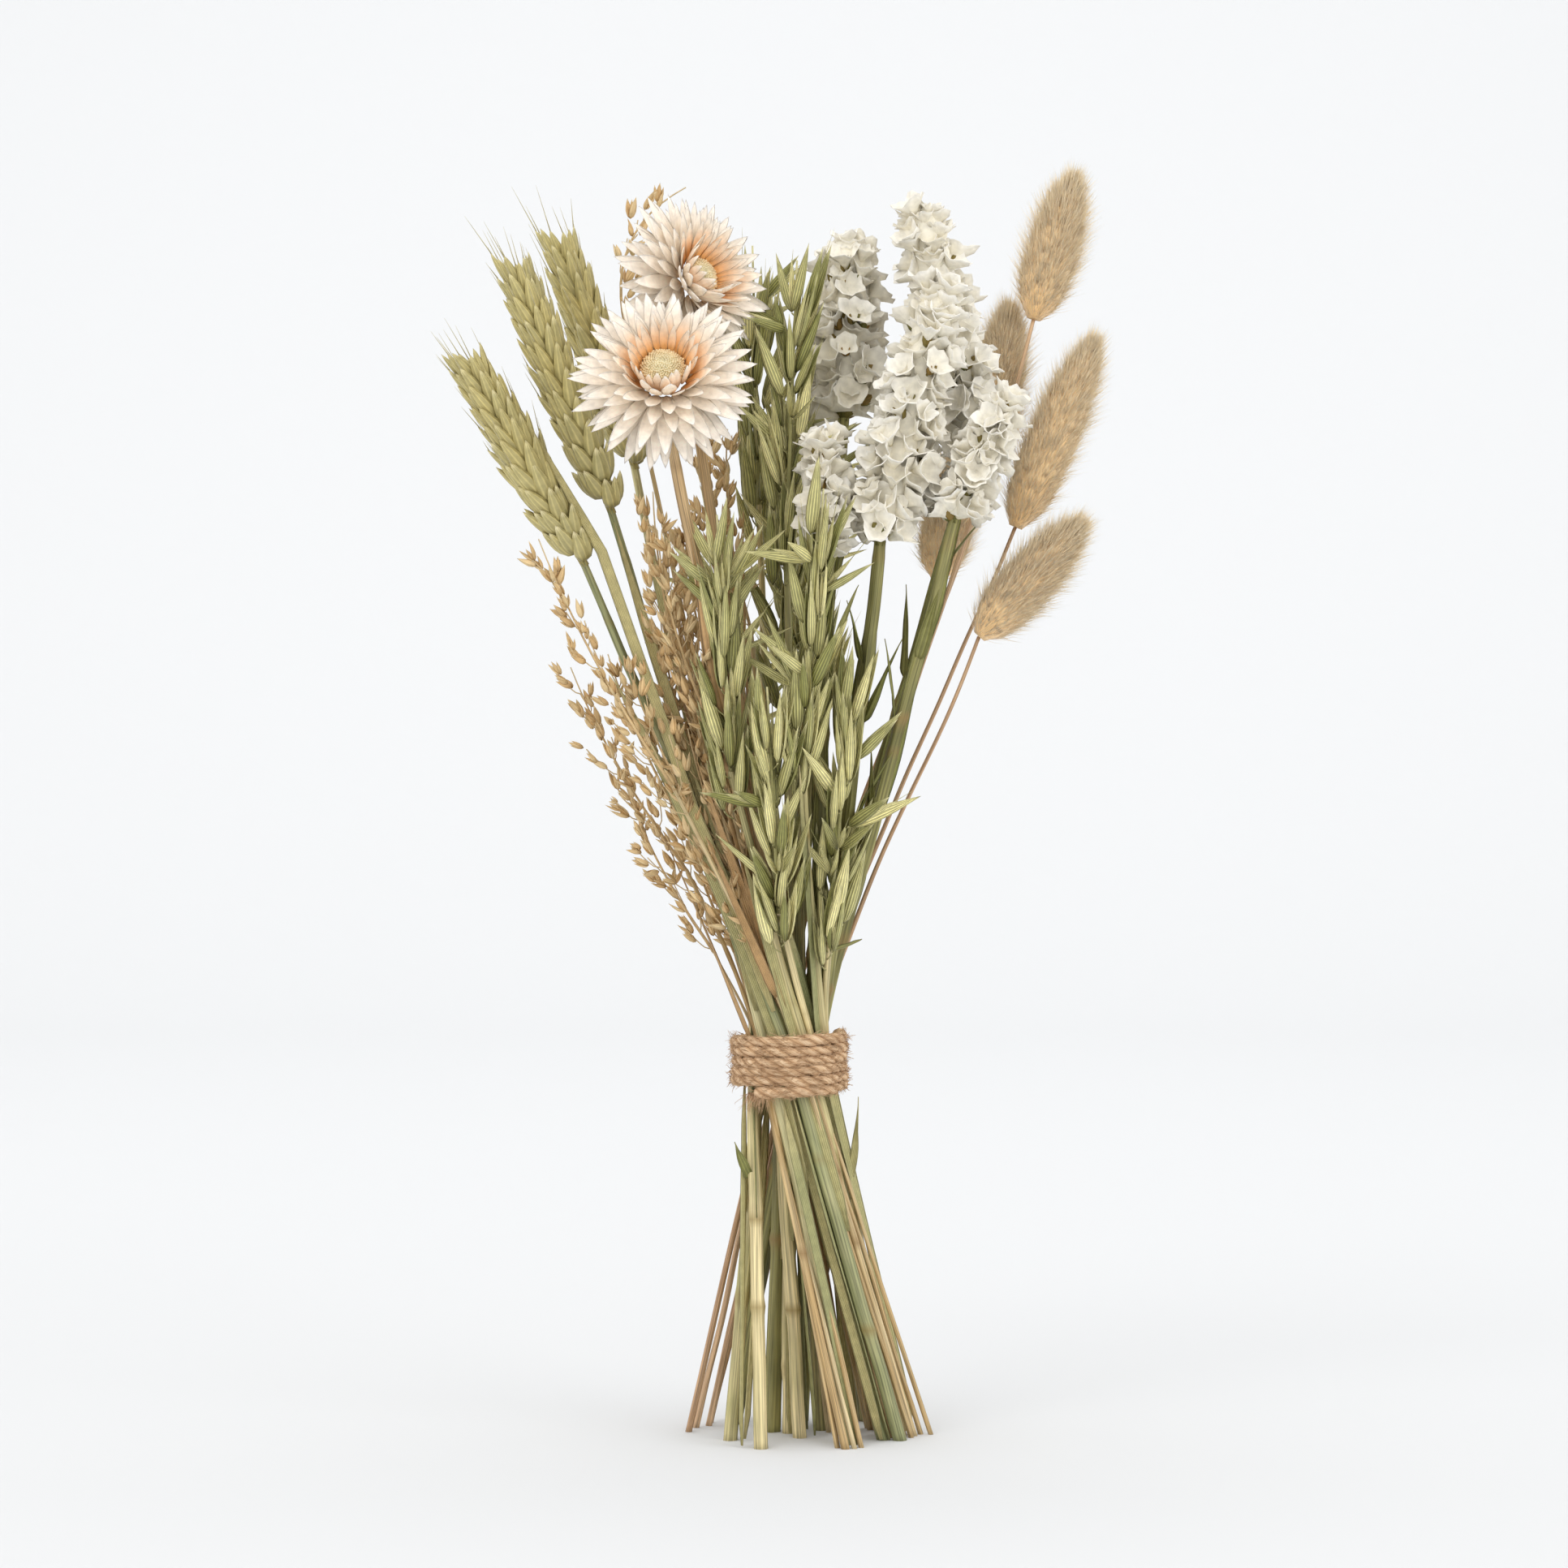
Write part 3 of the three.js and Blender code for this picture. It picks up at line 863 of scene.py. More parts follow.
@dataclass
class Stalk:
    """One stem, from its flat cut end to the head that it carries."""

    spine: Spine
    style: StalkStyle
    seed: int
    sides: int = 16
    step_mm: float = 2.5
    knot_shift_mm: float = 18  # how far a joint can be from its usual height
    knot_half_mm: float = 1.7  # half the length of a joint's swelling
    knot_swell: float = 0.2
    sheath_swell: float = 0.09

    def surface(self) -> Surface:
        """The stem's skin.

        Formula: level rings of radius r (1 + d cos(n a + p)) round a spine that sways by sines.
        At a joint r swells by a bell curve, and above it a leaf sheath thickens r and then ends
        in a step. The bottom ring turns in under the cut, to a dimple in hollow straw.

        Returns:
            A closed surface whose pattern is in millimetres.
        """
        rng = np.random.default_rng(self.seed)
        style = self.style
        height = self.spine.path[-1, 2] - self.spine.path[0, 2]
        count = max(12, int(height / (self.step_mm * MM)))
        path = smooth_path(self.spine.path, count)
        path[:, 2] = np.linspace(self.spine.path[0, 2], self.spine.path[-1, 2], count)
        z = path[:, 2] / MM
        radius = np.interp(path[:, 2], self.spine.path[:, 2], self.spine.radii)
        for axis in (0, 1):
            waves = rng.uniform(40, 110, 2)
            phase = rng.uniform(0, 6.3, 2)
            ease = np.minimum(z / 20, 1) * np.clip((height / MM - z) / 20, 0, 1)
            sway = np.sin(2 * math.pi * z[:, None] / waves + phase).sum(-1) / 2
            path[:, axis] += style.sway_mm * MM * ease * sway
        swell = np.ones(count)
        knot = np.zeros(count)
        for at in style.knots:
            here = at + rng.uniform(-self.knot_shift_mm, self.knot_shift_mm)
            if here > height / MM - 15:
                continue
            bell = np.exp(-(((z - here) / self.knot_half_mm) ** 2))
            sheath = rng.uniform(35, 60)
            swell += self.knot_swell * bell
            swell += self.sheath_swell * ((z > here) & (z < here + sheath))
            knot += 0.75 * bell + 0.4 * np.exp(-(((z - here - sheath) / 1.2) ** 2))
        angle = angles_round(self.sides)
        ribs = 1 + style.rib_depth * np.cos(style.ribs * angle + rng.uniform(0, 6.3))
        turn = np.stack([np.cos(angle), np.sin(angle), 0 * angle], -1)
        shape = ribs[:, None] * turn
        rings = path[:, None] + (radius * swell)[:, None, None] * shape
        rim, dimple_mm, cut = (0.62, 2.5, 0.9) if style.hollow else (0.5, 0.0, 0.3)
        lift = dimple_mm * MM * UP
        under = path[0] + radius[0] * rim * shape
        inside = under + lift
        rings = np.concatenate([inside[None], under[None], rings])
        around = 2 * math.pi * radius.mean() / MM
        length = height / MM
        shares = np.concatenate([[0, 0, 0.001], np.linspace(0, 1, count), [1]])
        made = closed_forms(
            rings[None], (path[0] + lift)[None], path[-1:], shares, (around, length)
        )
        below = np.repeat([cut, 0.25], self.sides)
        skin = np.repeat(np.clip(knot, 0, 1), self.sides)
        made.mark = np.concatenate([[cut], below, skin, [0]])
        made.tone[:] = rng.uniform(0.05, 0.95)
        made.quad_uv += rng.uniform(0, 60, 2)
        return made


# ------------------------------------------------------------------ heads


@dataclass
class WheatEar:
    """Two rows of spikelets that overlap like a plait, each a fan of pointed husks."""

    head: Head
    seed: int
    spikelets: int = 20
    husk_mm: tuple[float, float, float] = (4.7, 2.0, 14.0)
    awns: int = 34

    def surfaces(self) -> Surface:
        """Husks, awns and the stalk between them.

        Formula: spikelet k starts k steps up the axis, on the side (-1)^k, and its husks lean out
        to that side while they fan from front to back. Lower husks are short and plump.

        Returns:
            The whole ear.
        """
        rng = np.random.default_rng(self.seed)
        frame = self.head.frame
        side, face = frame[:, 0], frame[:, 1]
        fans = np.array([-1.0, -0.62, -0.2, 0.2, 0.62, 1.0])
        k, fan = (a.ravel() for a in np.meshgrid(np.arange(self.spikelets), fans, indexing="ij"))
        hand = np.where(k % 2, 1.0, -1.0)
        share = k / (self.spikelets + 1.6)
        size = 0.72 + 0.36 * np.sin(math.pi * np.clip(share * 0.9 + 0.12, 0, 1))
        size *= rng.uniform(0.92, 1.08, len(k))
        lean = (0.42 - 0.16 * share) * np.cos(1.1 * fan) + rng.normal(0, 0.05, len(k))
        outward = hand[:, None] * side
        axis = unit(
            self.head.axis
            + np.tan(lean)[:, None] * outward
            + (fan * 0.42 + rng.normal(0, 0.05, len(k)))[:, None] * face
        )
        inner = np.abs(fan) < 0.4
        origin = (
            self.head.along(share + 0.012 * inner)
            + (1.9 * MM * np.cos(1.3 * fan))[:, None] * outward
            + (3.0 * MM * np.sin(1.3 * fan))[:, None] * face
        )
        back = np.cos(1.3 * fan)[:, None] * outward + np.sin(1.3 * fan)[:, None] * face
        slim = np.clip(share * 2.2, 0, 1)
        stretch = np.stack([1.12 - 0.24 * slim, 1.25 - 0.3 * slim, 0.84 + 0.2 * slim], -1)
        sizes = size[:, None] * stretch * np.array(self.husk_mm) * MM
        form = husk_form(8, 6, 0.36, 0.72, -0.3, -0.02, 0.07)
        tones = np.clip(0.15 + 0.5 * slim + rng.normal(0, 0.22, len(k)), 0, 1)
        husks = scattered(form, frames_towards(axis, back), origin, sizes, tones)
        stalk = self.head.stalk(0.93, 12, (1.3, 1.3), 7, 0.5)
        chosen = rng.choice(np.where(share > 0.25)[0], self.awns, replace=False)
        root = origin[chosen] + axis[chosen] * sizes[chosen, 2:] * 0.94
        reach = (rng.uniform(3, 12, self.awns) * (1 + 0.5 * share[chosen] ** 3))[:, None] * MM
        drift = unit(axis[chosen] + 0.9 * self.head.axis + rng.normal(0, 0.12, (self.awns, 3)))
        paths = root[:, None] + (reach * drift)[:, None] * steps(4)
        thin = np.array([0.2, 0.14, 0.09, 0.03])[None].repeat(self.awns, 0) * MM
        awns = tubes(paths, thin, 4, np.full(self.awns, 0.1))
        awns.mark[:] = 0.95
        return joined([husks, stalk, awns])


@dataclass
class OatPanicle:
    """Long veined husks in pairs on thin stalks, most of them shut and pressed upwards."""

    head: Head
    seed: int
    spikelets: int = 32
    husk_mm: tuple[float, float, float] = (4.3, 1.6, 24.5)
    branch_mm: float = 6.5
    open_share: float = 0.26
    start: float = -0.2  # share of the length at which the lowest spikelet is
    last_lean: float = 0.05  # how far the top spikelet leans to the left
    floret_mm: tuple[float, float, float] = (2.4, 1.1, 17.0)
    stalk_mm: float = 0.24  # radius of a spikelet's own stalk

    def surfaces(self) -> Surface:
        """Husks, the florets between them, and their stalks.

        Formula: spikelet i is at turn i times the golden angle; its two husks lean apart from its
        own axis by a half opening, which is small in a shut one.

        Returns:
            The whole panicle.
        """
        rng = np.random.default_rng(self.seed)
        count = self.spikelets
        i = np.arange(count)
        share = self.start + (i + rng.uniform(-0.4, 0.4, count)) / count * (0.84 - self.start)
        share[-1] = 0.9 if self.last_lean > 0.5 else 0.82
        heading = i * GOLDEN + rng.uniform(-0.5, 0.5, count)
        wide = (rng.random(count) < self.open_share) & (share > 0.12)
        lean = np.where(wide, rng.uniform(0.5, 1.3, count), rng.uniform(0.05, 0.42, count))
        lean[-1], heading[-1] = self.last_lean, 0.0
        frame = self.head.frame
        out = outwards(heading, frame)
        axis = unit(leaning(lean, heading, frame) + rng.normal(0, 0.06, (count, 3)))
        size = rng.uniform(0.72, 1.06, count) * np.where(wide, 0.95, 1)
        reach = self.branch_mm * MM * rng.uniform(0.3, 1.2, (count, 1)) * (1 - 0.4 * share[:, None])
        start = self.head.along(share * (1 - 20 * MM / self.head.length))
        root = start + out * reach * 0.55 + self.head.axis * reach * 0.5
        spread = np.where(wide, rng.uniform(0.2, 0.5, count), rng.uniform(0.02, 0.1, count))
        hinge = unit(np.cross(axis, out) + 0.5 * rng.normal(0, 1, (count, 3)))
        hinge = square_to(hinge, axis)
        parts = []
        shut = husk_form(10, 7, 0.32, 0.95, 0.5, 0.04, 0.02)
        for hand, longer in ((1, 1.0), (-1, 0.93)):
            tilted = unit(axis + (hand * np.tan(spread))[:, None] * hinge)
            sizes = (size * longer)[:, None] * np.array(self.husk_mm) * MM
            parts.append(
                scattered(
                    shut,
                    frames_towards(tilted, hand * hinge),
                    root + hand * 0.15 * MM * hinge,
                    sizes,
                    varied(rng, 0.4, 0.32, count),
                )
            )
        floret = husk_form(8, 5, 0.4, 0.9, -0.7)
        inner = size[:, None] * np.array(self.floret_mm) * MM
        parts.append(
            scattered(
                floret, frames_towards(axis, hinge), root + 0.8 * MM * axis, inner,
                varied(rng, 0.9, 0.15, count),
            )
        )
        t = steps(5)
        bow = (out * reach * 0.3)[:, None]
        stalks = start[:, None] + (root - start)[:, None] * t + bow * t * (1 - t)
        thick = np.full((count, 5), self.stalk_mm * MM)
        parts.append(tubes(stalks, thick, 5, np.full(count, 0.4)))
        parts.append(self.head.stalk(0.82, 14, (0.8, 0.3), 7, 0.4))
        tips = (root + 0.9 * inner[:, 2:] * axis)[:, None]
        drift = unit(axis + rng.normal(0, 0.1, (count, 3)))[:, None]
        reach = rng.uniform(5, 14, count)[:, None, None] * MM
        awn = np.array([0.13, 0.11, 0.09, 0.06, 0.02])[None].repeat(count, 0) * MM
        parts.append(tubes(tips + reach * drift * t, awn, 4, np.full(count, 0.8)))
        return joined(parts)


@dataclass
class GrassPanicle:
    """A loose spray of small golden spikelets on hair-thin branches."""

    head: Head
    seed: int
    branches: int = 14
    per_branch: int = 3
    branch_mm: float = 15.0
    husk_mm: tuple[float, float, float] = (2.1, 0.9, 6.2)
    start: float = -0.12  # share of the length at which the lowest branch is
    branch_radius_mm: float = 0.19

    def surfaces(self) -> Surface:
        """Husks, branches and the main stalk.

        Formula: each branch arches out and up from the axis as out sqrt(t) + up t, and carries its
        spikelets at even shares of its length.

        Returns:
            The whole panicle.
        """
        rng = np.random.default_rng(self.seed)
        n, m = self.branches, self.per_branch
        share = np.linspace(self.start, 0.88, n) + rng.uniform(-0.02, 0.02, n)
        heading = np.arange(n) * GOLDEN + rng.uniform(-0.4, 0.4, n)
        out = outwards(heading, self.head.frame)
        taper = 1.1 - 0.75 * np.clip(share, 0, 1)
        length = self.branch_mm * MM * taper * rng.uniform(0.6, 1.2, n)
        start = self.head.along(share * (1 - 6 * MM / self.head.length))
        t = steps(7)
        side = 0.5 * length[:, None, None]
        rise = length[:, None, None]
        paths = start[:, None] + side * out[:, None] * np.sqrt(t) + rise * self.head.axis * t
        thick = np.full((n, 7), self.branch_radius_mm * MM)
        branches = tubes(paths, thick, 4, np.full(n, 0.9))
        s = ((np.arange(m) + 1) / m)[None, :, None]
        roots = start[:, None] + side * out[:, None] * np.sqrt(s) + rise * self.head.axis * s
        count = n * m
        roots = roots.reshape(-1, 3) + rng.normal(0, 0.8 * MM, (count, 3))
        lean = self.head.axis * 1.2 + np.repeat(out, m, 0) * 0.45
        axis = unit(lean + rng.normal(0, 0.4, (count, 3)))
        parts = [branches]
        form = husk_form(7, 4, 0.36, 0.95, 0.1, 0.03)
        hinge = unit(np.cross(axis, rng.normal(0, 1, (count, 3))))
        for hand in (-1, 0, 1):
            tilted = unit(axis + rng.uniform(0.12, 0.4, (count, 1)) * hand * hinge)
            sizes = rng.uniform(0.6, 1.1, (count, 1)) * np.array(self.husk_mm) * MM
            frames = frames_towards(tilted, hand * hinge if hand else np.cross(axis, hinge))
            parts.append(scattered(form, frames, roots, sizes, rng.uniform(0, 1, count)))
        parts.append(self.head.stalk(0.95, 14, (0.55, 0.2), 6, 0.5))
        return joined(parts)


def calyx_form(seed: int, sides: int = 18) -> Surface:
    """A ruffled papery funnel along +Z, one long and one in radius at its mouth.

    Formula: the wall opens like a trumpet to its rim and comes back inside itself. Sines of 5, 3
    and 8 waves push the rim in and out, and the same waves a radian on push it up and down.

    Args:
        seed: which of the rims it is.
        sides: corners round the funnel.

    Returns:
        The closed form.
    """
    rng = np.random.default_rng(seed)
    angle = angles_round(sides)
    radius = np.array([0.12, 0.42, 0.78, 1.0, 0.95, 0.5])[:, None]
    height = np.array([0.0, 0.45, 0.78, 0.96, 0.97, 0.55])[:, None]
    shares = np.array([0.0, 0.0, 0.4, 0.8, 1.0, 1.0, 0.6, 0.5])
    ruffle = np.array([0.0, 0.3, 0.75, 1.0, 1.0, 0.4])[:, None]
    phases = rng.uniform(0, 2 * math.pi, (3, 1, 1)) + 0 * ruffle[None]
    waves = sum(
        size * np.sin(n * angle + phase)
        for n, size, phase in zip((5, 3, 8), (0.7, 0.8, 0.5), phases)
    )
    lifts = sum(
        size * np.sin(n * angle + phase + 1)
        for n, size, phase in zip((5, 3, 8), (0.8, 0.9, 0.6), phases)
    )
    radius = radius * (1 + 0.13 * ruffle * waves)
    height = height + 0.1 * ruffle * lifts
    rings = np.stack([radius * np.cos(angle), radius * np.sin(angle), height], -1)
    start, end = np.array([[0.0, 0.0, -0.05]]), np.array([[0.0, 0.0, 0.35]])
    return closed_forms(rings[None], start, end, shares)


@dataclass
class StaticeSpike:
    """Ruffled white calyces crowded round a stalk, each in a small brown-green cup."""

    head: Head
    seed: int
    per_mm: float = 1.5
    calyx_mm: float = 5.9
    calyx_length_mm: float = 7.8
    ring_mm: float = 6.0
    cup_share: float = 0.36  # of the calyces whose cups show
    cup_mm: tuple[float, float, float] = (3.4, 1.3, 6.6)
    variants: int = 7  # different rims among the calyces

    def calyces(self) -> tuple[Array, Array, Array, Array]:
        """Where each calyx starts, where it faces, its size and its tone."""
        rng = np.random.default_rng(self.seed)
        count = int(self.per_mm * self.head.length / MM)
        i = np.arange(count)
        share = np.clip((i + rng.uniform(-0.8, 0.8, count)) / count, 0, 1)
        heading = i * GOLDEN + rng.uniform(-0.5, 0.5, count)
        lean = rng.uniform(0.55, 1.45, count) * (1 - 0.7 * share**3)
        frame = self.head.frame
        facing_out = leaning(lean, heading, frame)
        out = outwards(heading, frame)
        taper = np.sqrt(np.clip(4.4 - 4 * share, 0, 1)) * np.sqrt(np.clip(share * 5 + 0.4, 0, 1))
        away = rng.uniform(0.1, 1.0, count) * self.ring_mm * MM * taper
        reach = 1 - 6 * MM / self.head.length
        origin = self.head.along(share * reach) + away[:, None] * out
        size = rng.uniform(0.72, 1.12, count) * (1 - 0.15 * share)
        tone = varied(rng, 0.3, 0.25, count)
        return origin, facing_out, size, tone

    def petals(self) -> Surface:
        """The white calyces, and the paler mass of shut ones behind them."""
        rng = np.random.default_rng(self.seed + 1)
        origin, facing_out, size, tone = self.calyces()
        count = len(origin)
        frames = frames_towards(facing_out, rng.normal(0, 1, (count, 3)))
        pinch = rng.uniform(0.7, 1.08, (count, 2)) * self.calyx_mm
        sizes = np.column_stack([pinch, np.full(count, self.calyx_length_mm)]) * size[:, None] * MM
        share = np.linspace(0.03, 0.93, 24)
        thick = self.ring_mm * MM * 0.95 * np.sqrt(np.clip(4.4 - 4 * share, 0, 1))
        middle = tubes(
            self.head.along(share)[None], (thick * rng.uniform(0.8, 1.1, 24))[None], 12,
            np.array([0.3]),
        )
        middle.mark[:] = 0.4
        parts = []
        for v in range(self.variants):
            chosen = slice(v, None, self.variants)
            form = calyx_form(self.seed + v)
            parts.append(
                scattered(form, frames[chosen], origin[chosen], sizes[chosen], tone[chosen])
            )
        return joined([*parts, middle])

    def cups(self) -> Surface:
        """The brown-green bracts under the calyces, and the stalk that carries them."""
        rng = np.random.default_rng(self.seed + 2)
        origin, facing_out, size, _ = self.calyces()
        shown = rng.random(len(origin)) < self.cup_share
        origin, facing_out, size = origin[shown], facing_out[shown], size[shown]
        count = len(origin)
        form = husk_form(7, 4, 0.4, 0.8, -0.2, 0.05)
        parts = []
        for hand in (-1, 1):
            hinge = hand * unit(
                np.cross(facing_out, self.head.axis) + 0.3 * rng.normal(0, 1, (count, 3))
            )
            tilted = unit(facing_out + 0.25 * hinge)
            sizes = size[:, None] * np.array(self.cup_mm) * MM
            parts.append(
                scattered(
                    form, frames_towards(tilted, hinge), origin - facing_out * 1.4 * MM, sizes,
                    rng.uniform(0, 1, count),
                )
            )
        up = (origin - self.head.base) @ self.head.axis / self.head.length
        inner = self.head.along(np.clip(up - 0.05, 0, 1))
        t = steps(3)
        stalks = inner[:, None] + (origin - inner)[:, None] * t
        parts.append(tubes(stalks, np.full((count, 3), 0.5 * MM), 5, np.full(count, 0.5)))
        parts.append(self.head.stalk(0.9, 10, (1.4, 0.7), 7, 0.4))
        return joined(parts)


@dataclass
class BractRow:
    """One whorl of a strawflower's bracts."""

    count: int
    length_mm: float
    width_mm: float
    rise: float  # angle above the plane of the flower, in radians
    ring_mm: float  # radius of the circle that the bracts start on
    sink_mm: float  # how far behind the disc they start
    bend: float
    tone: float


@dataclass
class Strawflower:
    """Whorls of stiff pointed bracts round a domed disc of tiny florets."""

    centre: Array  # of the disc's base
    axis: Array
    seed: int
    size: float = 1.0
    outer: tuple[BractRow, ...] = (
        BractRow(23, 20.8, 5.0, -0.3, 6.5, 4.5, 0.14, 0.7),
        BractRow(23, 21.0, 5.1, -0.08, 6.8, 4.0, 0.05, 0.5),
        BractRow(21, 20.2, 5.0, 0.16, 7.0, 3.2, 0.0, 0.25),
        BractRow(20, 18.4, 4.9, 0.4, 7.0, 2.6, -0.03, 0.1),
        BractRow(18, 16.6, 4.8, 0.66, 6.9, 2.0, -0.02, 0.1),
    )
    inner: tuple[BractRow, ...] = (
        BractRow(18, 14.8, 4.4, 0.96, 6.8, 1.8, -0.06, 0.2),
        BractRow(21, 12.4, 3.2, 1.26, 6.4, 1.6, -0.12, 0.2),
    )
    disc_mm: float = 6.0
    florets: int = 320
    spread: float = 1.0  # how much longer than usual the bracts are
    bract_depth_mm: float = 0.9
    floret_mm: tuple[float, float, float] = (0.9, 0.45, 1.7)

    def whorl(self, row: BractRow, seed: int) -> Surface:
        """One whorl of bracts, evenly round the disc and a little uneven in length and rise."""
        rng = np.random.default_rng(seed)
        frame = frames_towards(self.axis[None], UP[None])[0]
        n = row.count
        heading = (np.arange(n) + rng.uniform(-0.22, 0.22, n) + rng.uniform()) * 2 * math.pi / n
        low = -np.sin(heading) * np.clip(row.rise, 0, 1)  # the lower bracts close over the disc
        rise = row.rise + 0.3 * low + rng.normal(0, 0.06, n)
        out = outwards(heading, frame)
        axis = leaning(math.pi / 2 - rise, heading, frame)
        origin = (
            self.centre
            + self.size * row.ring_mm * MM * out
            - self.size * row.sink_mm * MM * self.axis
        )
        back = -leaning(-rise, heading, frame)
        scale = self.size * self.spread * rng.uniform(0.88, 1.06, n) * (1 + 0.1 * low)
        bract_mm = np.array([row.width_mm, self.bract_depth_mm, row.length_mm])
        sizes = scale[:, None] * bract_mm * MM
        form = husk_form(8, 7, 0.45, 0.82, 0.75, row.bend, 0.03)
        tones = np.clip(row.tone + rng.normal(0, 0.12, n), 0, 1)
        return scattered(form, frames_towards(axis, back), origin, sizes, tones)

    def whorls(self, rows: tuple[BractRow, ...], seed: int) -> Surface:
        """Several whorls as one surface."""
        return joined([self.whorl(row, seed + i) for i, row in enumerate(rows)])

    def disc(self) -> Surface:
        """A dome of florets in golden-angle order.

        Formula: floret i is at turn i times the golden angle, sqrt(i / n) of the way out.

        Returns:
            The florets and the dome that they stand on.
        """
        rng = np.random.default_rng(self.seed + 40)
        frame = frames_towards(self.axis[None], UP[None])[0]
        i = np.arange(self.florets)
        share = np.sqrt((i + 0.5) / self.florets)
        heading = i * GOLDEN
        radius = self.size * self.disc_mm * MM
        out = outwards(heading, frame)
        dome = self.size * 1.2 * MM * (1 - share**2)
        origin = self.centre + radius * share[:, None] * out + dome[:, None] * self.axis
        towards = leaning(0.55 * share, heading, frame)
        scale = self.size * rng.uniform(0.85, 1.15, (self.florets, 1))
        sizes = scale * np.array(self.floret_mm) * MM
        form = husk_form(5, 3, 0.6, 0.5, -1.0)
        florets = scattered(form, frames_towards(towards, out + 0.1), origin, sizes, share**3)
        t = np.linspace(0.02, 1, 6)
        angle = angles_round(20)
        spread = (1 - t**3)[:, None]
        rings = (
            self.centre
            + (radius * spread)[..., None] * outwards(angle, frame)
            + ((2.0 * t - 1.6) * self.size * MM)[:, None, None] * self.axis
        )[:-1]
        dome_top = self.centre + self.size * 0.5 * MM * self.axis
        base = self.centre - self.size * 1.6 * MM * self.axis
        dome_form = closed_forms(rings[None], base[None], dome_top[None], np.linspace(0, 0.2, 7))
        dome_form.tone[:] = 0.5
        return joined([florets, dome_form])


@dataclass
class BunnyTail:
    """A soft egg of down with fine hairs that all sweep towards its tip."""

    head: Head
    seed: int
    radius_mm: float = 7.0
    hairs: int = 9500
    hair_mm: float = 8.8

    def outline(self, share: Array) -> Array:
        """The down's radius at shares of the length.

        Formula: half an ellipse up to 0.3, then (1 - u^2.8)^0.62 with u from 0 there to 1 at the
        tip.
        """
        low = np.sqrt(1 - (1 - np.clip(share / 0.3, 0.05, 1)) ** 2)
        high = (1 - np.clip((share - 0.3) / 0.7, 0, 0.98) ** 2.8) ** 0.62
        return self.radius_mm * MM * low * high

    def down(self) -> Surface:
        """The egg under the hairs, with small lumps."""
        rng = np.random.default_rng(self.seed)
        count, sides = 34, 30
        share = np.linspace(0, 1, count)
        angle = angles_round(sides)
        lumps = 0.96 + 0.02 * rng.normal(0, 1, (count, sides))
        ring = outwards(angle, self.head.frame)
        rings = (
            self.head.along(share * 0.9)[:, None]
            + (self.outline(share)[:, None] * lumps)[..., None] * ring
        )
        shares = capped(share)
        made = closed_forms(rings[None], self.head.base[None], self.head.along(0.91)[None], shares)
        made.tone[:] = 0.4
        return made

    def hair(self) -> Surface:
        """The hairs.

        Formula: a hair starts on the egg and runs root + l (first t + (sweep - first) t^2 / 2), so
        that it leaves the egg steeply and then turns towards the tip, where it comes to a point.

        Returns:
            Three-sided hairs, each with two rings and a point.
        """
        rng = np.random.default_rng(self.seed + 3)
        n = self.hairs
        share = rng.uniform(0, 1, n) ** 0.95
        heading = rng.uniform(0, 2 * math.pi, n)
        out = outwards(heading, self.head.frame)
        root = self.head.along(share * 0.9) + (self.outline(share) * 0.93)[:, None] * out
        long = rng.random(n) < 0.26
        length = np.where(long, rng.uniform(0.8, 1.2, n), rng.uniform(0.4, 0.85, n))
        length *= self.hair_mm * MM * (0.7 + 0.3 * np.sin(math.pi * np.clip(share, 0.1, 0.9)))
        tilt = np.where(long, rng.uniform(0.4, 1.1, n), rng.uniform(0.12, 0.6, n))
        tilt *= 1 - 0.55 * share**4
        first = unit(
            self.head.axis * np.cos(tilt)[:, None]
            + out * np.sin(tilt)[:, None]
            + rng.normal(0, 0.16, (n, 3))
        )
        sweep = unit(first + 0.5 * self.head.axis + rng.normal(0, 0.08, (n, 3)))
        half = root + length[:, None] * (0.375 * first + 0.125 * sweep)
        tip = root + length[:, None] * (0.5 * first + 0.5 * sweep)
        b = unit(np.cross(first, rng.normal(0, 1, (n, 3))))
        c = np.cross(first, b)
        angle = np.arange(3) * 2 * math.pi / 3
        ring = np.cos(angle)[:, None] * b[:, None] + np.sin(angle)[:, None] * c[:, None]
        rings = np.stack([root[:, None] + 0.06 * MM * ring, half[:, None] + 0.04 * MM * ring], 1)
        made = closed_forms(rings, root, tip, np.array([0, 0, 0.5, 1.0]))
        made.tone = np.repeat(varied(rng, 0.4, 0.3, n), 8)
        return made


# ------------------------------------------------------------------ leaves and twine


def bowed(root: Array, direction: Array, length_mm: float, bow_mm: Array, count: int = 22) -> Array:
    """A path that starts straight and bends away.

    Formula: root + d l t + bow t^2.

    Args:
        root: where it starts.
        direction: where it heads.
        length_mm: how long it is.
        bow_mm: how far its end has bent.
        count: how many points to give.

    Returns:
        The path, (count, 3).
    """
    t = np.linspace(0, 1, count)[:, None]
    return root + length_mm * MM * t * unit(direction) + np.asarray(bow_mm) * MM * t**2


